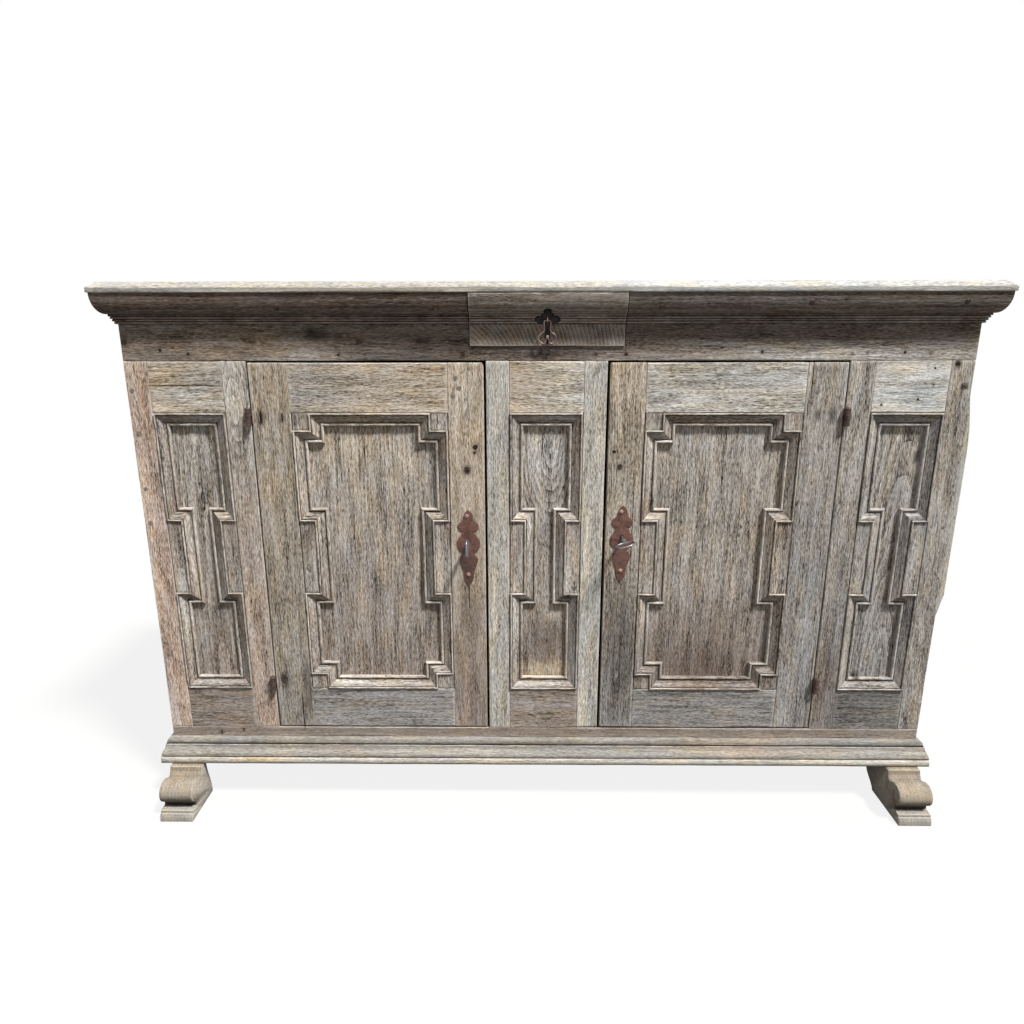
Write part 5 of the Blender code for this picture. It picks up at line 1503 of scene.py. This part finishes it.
class SIDEBOARD_OT_base(bpy.types.Operator):
    """Plinth moulding with the sill strip above it, and the two scrolled front feet"""
    bl_idname = "sideboard.base"
    bl_label = "Plinth and feet"

    def execute(self, context):
        scene = context.scene
        oak, form = scene.sideboard_oak, scene.sideboard_form
        self.add_plinth(oak, form)
        self.add_feet(oak)
        return {"FINISHED"}

    def add_plinth(self, oak, form):
        rng = seeded("plinth")
        tones = tones_of(oak, "plinth")
        thickness = FRAME_BACK - FACE
        ring = plinth_ring(form, -thickness)
        rear_ring = plinth_ring(form, 0.0005)
        foot = BACK - (REAR_FOOT + 0.0003)
        corners = [(side * HALF, FACE, 0.0) for side in (-1, 1)]
        mitres = [(side, -1.0, 0.0) for side in (-1, 1)]
        across = np.linspace(0, 1, int(2 * HALF / oak.long_station))
        back = np.linspace(0, 1, int((foot - FACE) / oak.long_station))
        shells = [strip(oak, ring, corners, mitres, Z_AXIS, tones, rng, across, soot=0.3)]
        for side, corner, mitre in zip((-1, 1), corners, mitres):
            lean = side * X_AXIS
            middle = (side * HALF, foot, 0.0)
            rear = (side * HALF, BACK, 0.0)
            shells.append(strip(oak, ring, (corner, middle), (mitre, lean), Z_AXIS, tones, rng, back))
            shells.append(strip(oak, rear_ring, (middle, rear), (lean, lean), Z_AXIS, tones, rng))
        sill = SILL_TOP - form.sill
        self.paint_plinth_light_and_shade(form, sill, shells)
        brown = tones_of(oak, "sill")
        shells.append(board(oak, (-HALF, FACE, sill), (HALF, FRAME_BACK, SILL_TOP), 0, 2, brown, rng))
        for side in (-1, 1):
            x = sorted((side * HALF, side * (HALF - thickness)))
            shells.append(board(oak, (x[0], FRAME_BACK, sill), (x[1], foot, SILL_TOP), 1, 2, brown, rng))
        shells = [stained(oak, "plinth", shell) for shell in shells]
        add_piece("plinth_oak", shells, "oak_pale", "carcass", ["plinth"])

    def paint_plinth_light_and_shade(self, form, sill, shells):
        """Painted light and shade on the members: a darker bead, a wave shaded to look hollow, a paler fascia,
        and painted shade in the grooves between, and a corner worn round in plan.
        """
        corner = np.array((HALF + PLINTH_PROJECTION, PLINTH_PROJECTION - FACE)) - form.plinth_corner
        for shell in shells:
            x, y, z = shell.points.T
            bead = sill - form.plinth_bead
            fascia = PLINTH_BOTTOM + form.plinth_fascia
            levels = (
                PLINTH_BOTTOM, fascia - 0.001, fascia + 0.001, (bead + fascia) / 2, bead - 0.003, bead, sill,
            )
            # Painted light and shade down the profile: fascia paler and brightest at its top edge, painted shade
            # just above it, wave paler in its middle, bead darker and darkest at its foot
            shade = np.interp(z, levels, (1.15, 1.4, 0.75, 1.15, 1.0, 0.45, 0.80))
            shell.tone = shell.tone * shade[:, None]
            # Painted shade in the grooves at the two fillets
            for level in (bead - form.plinth_fillet / 2, fascia + form.plinth_fillet / 2):
                shell.wear_and_shade = shell.wear_and_shade - 0.9 * np.exp(-((z - level) / 0.0012) ** 2)
            past = np.column_stack([np.abs(x), -y]) - corner
            reach = np.hypot(*np.clip(past, 0, None).T)
            beyond = (past > 0).all(axis=1) & (reach > form.plinth_corner)
            shrink = np.where(beyond, form.plinth_corner / np.maximum(reach, 1e-9), 1.0)
            drawn = corner + past * shrink[:, None]
            shell.points[:, 0] = np.where(beyond, np.sign(x) * drawn[:, 0], x)
            shell.points[:, 1] = np.where(beyond, -drawn[:, 1], y)

    def add_feet(self, oak):
        """Foot: the side outline carried across, its first and last rings drawn in to round the arrises."""
        edge = np.array((0.0, 0.0003, 0.0010))
        inset = np.array((0.0009, 0.0004, 0.0))
        for hand in ("left", "right"):
            node = f"{hand}_front_foot"
            rng = seeded(node)
            ring = foot_ring(*FOOT_REARS[hand])
            low, high = BOX[node][0][0], BOX[node][1][0]
            width = high - low
            run = np.concatenate([edge, np.linspace(0.006, width - 0.006, 9), width - edge[::-1]])
            drawn = np.concatenate([inset, np.zeros(9), inset[::-1]])
            centre = ring.mean(axis=0)
            ahead = np.roll(ring, -1, axis=0) - np.roll(ring, 1, axis=0)
            normal = np.column_stack([ahead[:, 1], -ahead[:, 0]]) / np.linalg.norm(ahead, axis=1)[:, None]
            normal *= np.sign(np.sum(normal * (ring - centre)))
            rings = ring - drawn[:, None, None] * normal
            points = np.stack(np.broadcast_arrays(
                (low + run)[:, None], FACE - rings[..., 0], np.clip(rings[..., 1], 0, FOOT_HEIGHT),
            ), axis=-1)
            tones = tones_of(oak, "feet")
            worn_and_shaded = ring_wear_and_shade(ring) * 0.8 + np.where(drawn > 0, 0.5, 0)[:, None]
            # Painted shade under the roll, deepening down towards the groove
            underside_shade = np.clip((0.056 - rings[..., 1]) / 0.024, 0, 1) * (
                rings[..., 1] > FOOT_GROOVE
            ) * (rings[..., 0] > 0.03)
            worn_and_shaded = worn_and_shaded - 0.85 * underside_shade
            grain = points[..., [2, 0, 1]] + np.array((rng.uniform(-0.02, 0.02), 0.04, rng.uniform(0, 9)))
            share = points[..., 2:] / FOOT_HEIGHT
            tone = tones[0] * (1 - share) + tones[1] * share
            add_piece(f"{node}_oak", [skin(points, grain, tone, worn_and_shaded)], "oak_pale", "carcass", [node])


class SIDEBOARD_OT_carcass_boards(bpy.types.Operator):
    """Planks of the sides, back, floor and shelf, and the dust board with the drawer's guides"""
    bl_idname = "sideboard.carcass_boards"
    bl_label = "Carcass boards"

    def execute(self, context):
        oak = context.scene.sideboard_oak
        inside = tones_of(oak, "inside")
        for hand in ("left", "right"):
            self.add_side(oak, hand)
        for node, along, across, count in (
            ("back_boards", 2, 0, 7), ("floor_boards", 0, 1, 3), ("shelf", 0, 1, 3),
        ):
            low, high = BOX[node]
            shells = planks(oak, low, high, along, across, count, inside, seeded(node), columns=PLANK_COLUMNS)
            add_piece(f"{node}_oak", shells, "oak_inside", "carcass", [node])
        self.add_dust_board(oak, inside)
        return {"FINISHED"}

    def add_side(self, oak, hand):
        """Upright planks, of which the rear one runs down to the floor as the rear foot."""
        node = f"{hand}_side_board"
        rng = seeded(node)
        low, high = (corner.copy() for corner in BOX[node])
        tones = tones_of(oak, "side")
        foot = BACK - REAR_FOOT
        shells = [board(oak, (low[0], foot, 0.0), high, 2, 1, tones, rng, columns=PLANK_COLUMNS)]
        front = np.array((low[0], low[1], SILL_TOP + 0.0003))
        shells += planks(oak, front, (high[0], foot, high[2]), 2, 1, 3, tones, rng, columns=PLANK_COLUMNS)
        add_piece(f"{node}_oak", shells, "oak_frame", "carcass", [node])

    def add_dust_board(self, oak, inside):
        rng = seeded("dust_board")
        low, high = BOX["dust_board"]
        shells = planks(
            oak, low, (high[0], high[1], DRAWER_SILL), 0, 1, 3, inside, rng, columns=PLANK_COLUMNS,
        )
        for side in (-1, 1):
            x = sorted((side * DRAWER_HALF, side * (DRAWER_HALF + 0.012)))
            shells.append(board(
                oak, (x[0], low[1], DRAWER_SILL), (x[1], high[1], high[2]), 1, 0, inside, rng,
                columns=BLOCK_COLUMNS,
            ))
        add_piece("dust_board_oak", shells, "oak_inside", "carcass", ["dust_board"])


class SIDEBOARD_OT_drawer(bpy.types.Operator):
    """Drawer: a front that carries the cornice on, its box, the iron plate with its staple, and the wire pull
    """
    bl_idname = "sideboard.drawer"
    bl_label = "Drawer"

    def execute(self, context):
        scene = context.scene
        oak, form, iron = scene.sideboard_oak, scene.sideboard_form, scene.sideboard_iron
        self.add_front(oak, form)
        self.add_box(oak)
        self.add_plate(iron)
        self.add_pull(iron)
        return {"FINISHED"}

    def add_front(self, oak, form):
        """Section of the cornice on a flat lower part, carried across, with a seat cut in it for the plate.
        """
        node = "drawer_front"
        rng = seeded(node)
        low, high = BOX[node]
        plate_low, plate_high = BOX["drawer_plate"]
        face = -(low[1] + CORNICE_PROJECTION)
        cornice = cornice_face(form)
        cornice = np.column_stack([cornice[:, 0], np.minimum(cornice[:, 1], high[2])])
        back = -(high[1] + face)
        outline = np.vstack([[(back, low[2]), (0.0, low[2])], cornice, [(back, high[2])]])
        ring = eased(outline, 0.0007, 1)
        clearance = np.array((0.0009, 0.0, 0.0))
        low, high = low + clearance, high - clearance
        width = high[0] - low[0]
        middle = plate_high[0] + 0.003
        run = np.concatenate([
            (0.0, 0.0004, 0.0012), np.linspace(0.004, width / 2 - middle, 14),
            np.linspace(width / 2 - middle, width / 2 + middle, 54)[1:-1],
            np.linspace(width / 2 + middle, width - 0.004, 14), width - np.array((0.0012, 0.0004, 0.0)),
        ])
        ends = [(low[0], -face, 0.0), (high[0], -face, 0.0)]
        shell = strip(
            oak, ring, ends, (-Y_AXIS, -Y_AXIS), Z_AXIS, tones_of(oak, node), rng, places=run / width,
        )
        x, y, z = shell.points.T
        share = np.clip((plate_high[2] - z) / (plate_high[2] - plate_low[2]), 0, 1)
        line = smooth_line(PLATE_OUTLINE)
        seat = np.interp(share, line[:, 0], line[:, 1]) * plate_high[0] + 0.0008
        inside = (np.abs(x) < seat) & (z > plate_low[2]) & (z < plate_high[2])
        shell.points[:, 1] = np.where(inside, np.maximum(y, plate_high[1]), y)
        arcs = np.column_stack([x + 0.185, z - low[2] + 0.045, 3 * y])
        plain = np.column_stack([z - low[2], 0.05 - y, x])
        shell.grain = np.where((z < FRIEZE_TOP)[:, None], arcs, plain)
        # Painted light: the lower tier, which lies in the cornice's shadow, made paler
        shell.tone = shell.tone * np.where(z < FRIEZE_TOP, 1.35, 1.0)[:, None]
        ends = np.minimum(x - low[0], high[0] - x)
        shell.wear_and_shade = shell.wear_and_shade + 0.9 * np.exp(-(z - low[2]) / 0.0015) + 0.6 * np.exp(-ends / 0.0015)
        shell.rings = 1.3
        add_piece(f"{node}_oak", [paint_quirk_shade_and_bead_highlight(form, shell)], "oak_cornice", "drawer", [node])

    def add_box(self, oak):
        rng = seeded("drawer_box")
        low, high = BOX["drawer_box"]
        wall = 0.010
        tones = tones_of(oak, "inside")
        floor = low[2] + wall
        parts = (
            (low, (high[0], high[1], floor), 0, 1),
            ((low[0], low[1], floor), (low[0] + wall, high[1], high[2]), 1, 2),
            ((high[0] - wall, low[1], floor), high, 1, 2),
            ((low[0] + wall, high[1] - wall, floor), (high[0] - wall, high[1], high[2]), 0, 2),
        )
        shells = [board(oak, *part, tones, rng, columns=PLANK_COLUMNS) for part in parts]
        add_piece("drawer_box_oak", shells, "oak_inside", "drawer", ["drawer_box"])

    def add_plate(self, iron):
        low, high = BOX["drawer_plate"]
        eye_y = low[1] + iron.eye_radius + iron.eye_wire
        back = high[1]
        outline = smooth_line(PLATE_OUTLINE)
        height = np.linspace(high[2], low[2], 70)
        half = np.interp((high[2] - height) / (high[2] - low[2]), outline[:, 0], outline[:, 1]) * high[0]
        shells = [
            plate_shell(
                iron.plate, 0.0, side, height, half, 0 * half, back - 0.0015, back,
            ) for side in (-1, 1)
        ]
        turn = np.linspace(0, 2 * np.pi, 28, endpoint=False)
        staple = np.column_stack(
            [0 * turn, eye_y + iron.eye_radius * np.cos(turn), STAPLE_LEVEL + iron.eye_radius * np.sin(turn)]
        )
        shells.append(tube(staple, iron.eye_wire, X_AXIS, iron.copper, closed=True, sides=10))
        add_piece("drawer_plate_iron", shells, "iron_dark", "drawer", ["drawer_plate"])

    def add_pull(self, iron):
        axis = PLACE["drawer_pull_swing"]
        half = smooth_line(PULL_OUTLINE)
        width = iron.pull_width / 2 - iron.pull_wire
        right = np.column_stack([half[:, 1] * width, -half[:, 0] * iron.pull_drop])
        loop = np.vstack([right, right[-2:0:-1] * (-1, 1)])
        path = np.column_stack([axis[0] + loop[:, 0], np.full(len(loop), axis[1]), axis[2] + loop[:, 1]])
        shells = [tube(path, iron.pull_wire, Y_AXIS, iron.copper, closed=True, sides=10)]
        share, girth = np.array(PULL_BINDING).T
        drop = share * iron.pull_drop
        binding = np.array(axis) - np.column_stack([0 * drop, 0 * drop, drop])
        shells.append(tube(binding, girth * iron.pull_wire, Y_AXIS, iron.copper, sides=10))
        add_piece("drawer_pull_iron", shells, "iron_dark", "drawer_pull", ["drawer_pull"])


def plate_shell(tone, middle, side, height, outer, inner, front, back):
    """One half of a flat iron plate: at each height a ring from its inner line to its outer one and back.

    The front swells a little from the rim, and the rim is rounded. inner is the half width of a keyhole.
    """
    rim = 0.0006
    outer = np.maximum(outer, inner + 2 * rim)
    share = np.linspace(0, 1, 7)
    reach = inner[:, None] + (outer - rim - inner)[:, None] * share
    swell = 0.0004 * np.sin(np.pi * np.clip(outer / outer.max(), 0, 1) / 2)[:, None] * (1 - share ** 3)
    x = np.column_stack([reach, outer, outer, inner])
    y = np.column_stack([
        front + 0.0004 - swell, np.full(len(height), front + rim), np.full(len(height), back),
        np.full(len(height), back),
    ])
    points = np.stack(np.broadcast_arrays(middle + side * x, y, height[:, None]), axis=-1)
    return skin(points, points, np.array(tone), 0.0)


class SIDEBOARD_OT_hinges(bpy.types.Operator):
    """Knuckle hinges: barrels with a turned bead at each end, and the leaves let into the edges"""
    bl_idname = "sideboard.hinges"
    bl_label = "Hinges"

    def execute(self, context):
        iron = context.scene.sideboard_iron
        for hand in ("left", "right"):
            for level in ("upper", "lower"):
                self.add_half(iron, f"{hand}_{level}_pintle", hand, "carcass", True)
                self.add_half(iron, f"{hand}_door_{level}_knuckle", hand, f"{hand}_door", False)
        return {"FINISHED"}

    def add_half(self, iron, node, hand, body, lower):
        """Barrel turned about the joint's axis, and a flat leaf behind it on the side of its own board."""
        low, high = BOX[node]
        x, y = PLACE[f"{hand}_door_swing"][:2]
        bottom = low[2]
        top = bottom + 0.0167
        bead = np.array((0.0, 0.0008, 0.0016, 0.0026, 0.0034))
        height = np.concatenate(
            [bottom + bead, np.linspace(bottom + 0.005, top - 0.005, 4), top - bead[::-1]]
        )
        radius = iron.barrel * np.array(
            (0.82, 0.97, 1.0, 0.96, 0.9, *([0.92] * 4), 0.9, 0.96, 1.0, 0.97, 0.82)
        )
        shells = [
            tube(
                np.column_stack([np.full(len(height), x), np.full(len(height), y), height]), radius, X_AXIS,
                iron.hinge,
            )
        ]
        if lower:
            tip = np.array((top - 0.001, top + 0.016, top + 0.0185, top + 0.0192))
            thin = np.array((0.0028, 0.0028, 0.0022, 0.0006))
            shells.append(
                tube(np.column_stack([np.full(4, x), np.full(4, y), tip]), thin, X_AXIS, iron.hinge)
            )
        edge = BOX[f"{hand}_bay_stile" if lower else f"{hand}_door_hinge_stile"]
        inner = edge[1][0] if (hand == "left") == lower else edge[0][0]
        into = 1 if (hand == "left") != lower else -1
        near, far = sorted((inner + into * 0.0003, inner + into * 0.002))
        leaf = high[1]
        turn = np.linspace(0, 1, 5)
        corners = np.array([(near, y), (far, y), (far, leaf), (near, leaf)])
        ring = eased(corners, 0.0008, 1)
        points = np.stack(np.broadcast_arrays(
            ring[None, :, 0], ring[None, :, 1], (bottom + 0.001 + (top - bottom - 0.002) * turn)[:, None],
        ), axis=-1)
        shells.append(skin(points, points, np.array(iron.hinge), 0.0))
        add_piece(f"{node}_iron", shells, "iron_rusty", body, [node])


class SIDEBOARD_OT_locks(bpy.types.Operator):
    """Lock plates with their keyholes and nails, keys, and the finish of the lock cases and bolts"""
    bl_idname = "sideboard.locks"
    bl_label = "Locks and keys"

    def execute(self, context):
        iron = context.scene.sideboard_iron
        for hand, turn in (("left", 0.0), ("right", iron.right_key_turn)):
            x, _, z = PLACE[f"{hand}_key_turn"]
            self.add_escutcheon(iron, hand, x, z)
            self.add_key(iron, hand, x, z, turn)
            for node in (f"{hand}_lock_case", f"{hand}_bolt"):
                data = frame["nodes"][node].data
                data.materials.clear()
                data.materials.append(finish_of("iron_plain"))
        return {"FINISHED"}

    def add_escutcheon(self, iron, hand, x, z):
        node = f"{hand}_escutcheon"
        top = z + iron.escutcheon_rise
        height = np.linspace(top - 0.0002, top - iron.escutcheon_height + 0.0002, 150)
        outline = smooth_line(ESCUTCHEON_OUTLINE)
        half = np.interp(
            (top - height) / iron.escutcheon_height, outline[:, 0], outline[:, 1],
        ) * iron.escutcheon_width / 2
        rise = height - z
        hole = np.sqrt(np.clip(iron.keyhole_radius ** 2 - rise ** 2, 0, None))
        slot = np.where((rise < 0) & (rise > -iron.slot_drop), iron.slot_half, 0)
        inner = np.maximum(hole, slot)
        front, back = BOX[node][0][1], BOX[node][1][1]
        # Dark scale and painted shadow of the key, growing down the plate's lower half
        scaled = np.clip((-SCALE_SHADOW_START - rise) / SCALE_SHADOW_REACH, 0, 1) * PLATE_SCALE_AND_SHADOW[hand]
        tone = np.array(iron.rust) * (
            1 - scaled[:, None, None]
        ) + np.array(iron.scale) * scaled[:, None, None]
        shells = [plate_shell(tone, x, side, height, half, inner, front, back) for side in (-1, 1)]
        for nail_x, nail_z in ESCUTCHEON_NAILS:
            shells.append(
                dome(
                    (x + nail_x, front, z + nail_z), ESCUTCHEON_NAIL_RADIUS, ESCUTCHEON_NAIL_HEIGHT,
                    iron.nail,
                )
            )
        add_piece(f"{node}_iron", shells, "iron_rusty", f"{hand}_door", [node])

    def add_key(self, iron, hand, x, z, turn):
        """Key along Y: a turned shank with collars, an oval bow in an upright plane, and a bit, turned about
        its axis.
        """
        node = f"{hand}_key"
        tip = BOX[node][1][1]
        bow_middle = FACE - iron.key_reach + iron.bow_length / 2
        across = iron.bow_width / 2 - iron.bow_wire
        along = iron.bow_length / 2 - iron.bow_wire
        start = bow_middle + along
        run = np.array((0.0, 0.002, 0.004, 0.006, 0.008, 0.010, 0.0105, 0.013, 0.0135)) + start
        run = np.concatenate([run, np.linspace(start + 0.02, tip - 0.001, 8), [tip]])
        girth = np.array((1.0, 1.25, 1.45, 1.25, 1.0, 1.0, 1.3, 1.3, 1.0, *([1.0] * 8), 0.8)) * iron.shank
        shells = [tube(np.column_stack([0 * run, run, 0 * run]), girth, X_AXIS, iron.steel, sides=16)]
        round_bow = np.linspace(0, 2 * np.pi, 48, endpoint=False)
        bow = np.column_stack(
            [0 * round_bow, bow_middle + along * np.cos(round_bow), across * np.sin(round_bow)]
        )
        shells.append(tube(bow, iron.bow_wire, X_AXIS, iron.steel, closed=True, sides=12))
        ring = eased(
            [(-0.0015, 0.0), (0.0015, 0.0), (0.0015, -iron.bit_radius), (-0.0015, -iron.bit_radius)], 0.0008,
            1,
        )
        rear = np.linspace(tip - 0.009, tip - 0.002, 4)
        points = np.stack(np.broadcast_arrays(ring[None, :, 0], rear[:, None], ring[None, :, 1]), axis=-1)
        shells.append(skin(points, points, np.array(iron.steel), 0.0))
        c, s = math.cos(turn), math.sin(turn)
        spin = np.array(((c, 0, s), (0, 1, 0), (-s, 0, c)))
        for shell in shells:
            shell.points = shell.points @ spin + np.array((x, 0.0, z))
        add_piece(f"{node}_iron", shells, "iron_dark", node, [node])


class SIDEBOARD_OT_pegs_and_nails(bpy.types.Operator):
    """Oak pegs of the mortise joints, and the heads and holes of old nails"""
    bl_idname = "sideboard.pegs_and_nails"
    bl_label = "Pegs and nails"

    def execute(self, context):
        scene = context.scene
        oak, form, iron = scene.sideboard_oak, scene.sideboard_form, scene.sideboard_iron
        face = cornice_face(form)
        cornice = [
            dome(
                (x, FACE - np.interp(z, face[:, 1], face[:, 0]) + 0.001, z), CORNICE_NAIL_RADIUS,
                CORNICE_NAIL_HEIGHT, iron.scale,
            )
            for x, z in CORNICE_NAILS
        ]
        for body, pegs, knots, cracks, nails, more in (
            ("carcass", FRAME_PEGS, (), FRAME_CRACKS, FRAME_NAILS, cornice),
            ("left_door", LEFT_DOOR_PEGS, LEFT_DOOR_KNOTS, LEFT_DOOR_CRACKS, LEFT_DOOR_NAILS, []),
            ("right_door", RIGHT_DOOR_PEGS, RIGHT_DOOR_KNOTS, RIGHT_DOOR_CRACKS, RIGHT_DOOR_NAILS, []),
        ):
            plugs = [dome((x, FACE, z), radius, PEG_HEIGHT, np.array(oak.umber)) for x, z, radius in pegs]
            if body == "carcass":
                plugs += [
                    dome((x, FACE, z), radius, rise, np.array(oak.slate) * 0.6)
                    for x, z, radius, rise in RAISED_PEGS
                ]
            plugs += [
                dome((x, FACE, z), wide, KNOT_HEIGHT, np.array(oak.dark) * 0.5, -0.25, tall / wide)
                for x, z, wide, tall in knots
            ]
            plugs += [
                dome((x, FACE, z), wide, KNOT_HEIGHT, np.array(oak.grime_and_shade), -1.0, tall / wide)
                for x, z, wide, tall in cracks
            ]
            heads = [dome((x, FACE, z), radius, NAIL_HEIGHT, iron.scale) for x, z, radius in nails]
            add_piece(f"{body}_pegs", plugs, "oak_frame", body, [])
            add_piece(f"{body}_nails", heads + more, "iron_dark", body, [])
        return {"FINISHED"}


OPERATORS = (
    SIDEBOARD_OT_stage, SIDEBOARD_OT_frame_boards, SIDEBOARD_OT_panels, SIDEBOARD_OT_top_and_cornice,
    SIDEBOARD_OT_base, SIDEBOARD_OT_carcass_boards, SIDEBOARD_OT_drawer, SIDEBOARD_OT_hinges,
    SIDEBOARD_OT_locks, SIDEBOARD_OT_pegs_and_nails,
)
SETTINGS = {
    "sideboard_oak": OakSettings,
    "sideboard_form": MouldingSettings,
    "sideboard_iron": IronSettings,
    "sideboard_stage": StageSettings,
}


class SIDEBOARD_PT_panel(bpy.types.Panel):
    """Buttons for the pieces, and the settings that they read"""
    bl_label = "Sideboard"
    bl_idname = "SIDEBOARD_PT_panel"
    bl_space_type = "VIEW_3D"
    bl_region_type = "UI"
    bl_category = "Sideboard"

    def draw(self, context):
        for operator in OPERATORS:
            self.layout.operator(operator.bl_idname)
        for setting in SETTINGS:
            group = getattr(context.scene, setting)
            column = self.layout.column(heading=setting.replace("_", " ").capitalize())
            for name in group.bl_rna.properties.keys():
                if name not in ("rna_type", "name"):
                    column.prop(group, name)


def register():
    for name, settings in SETTINGS.items():
        bpy.utils.register_class(settings)
        setattr(bpy.types.Scene, name, PointerProperty(type=settings))
    for kind in (*OPERATORS, SIDEBOARD_PT_panel):
        bpy.utils.register_class(kind)


def unregister():
    for kind in (SIDEBOARD_PT_panel, *reversed(OPERATORS)):
        bpy.utils.unregister_class(kind)
    for name, settings in SETTINGS.items():
        delattr(bpy.types.Scene, name)
        bpy.utils.unregister_class(settings)


def main():
    register()
    for operator in OPERATORS:
        group, name = operator.bl_idname.split(".")
        getattr(getattr(bpy.ops, group), name)()


if __name__ == "__main__":
    main()
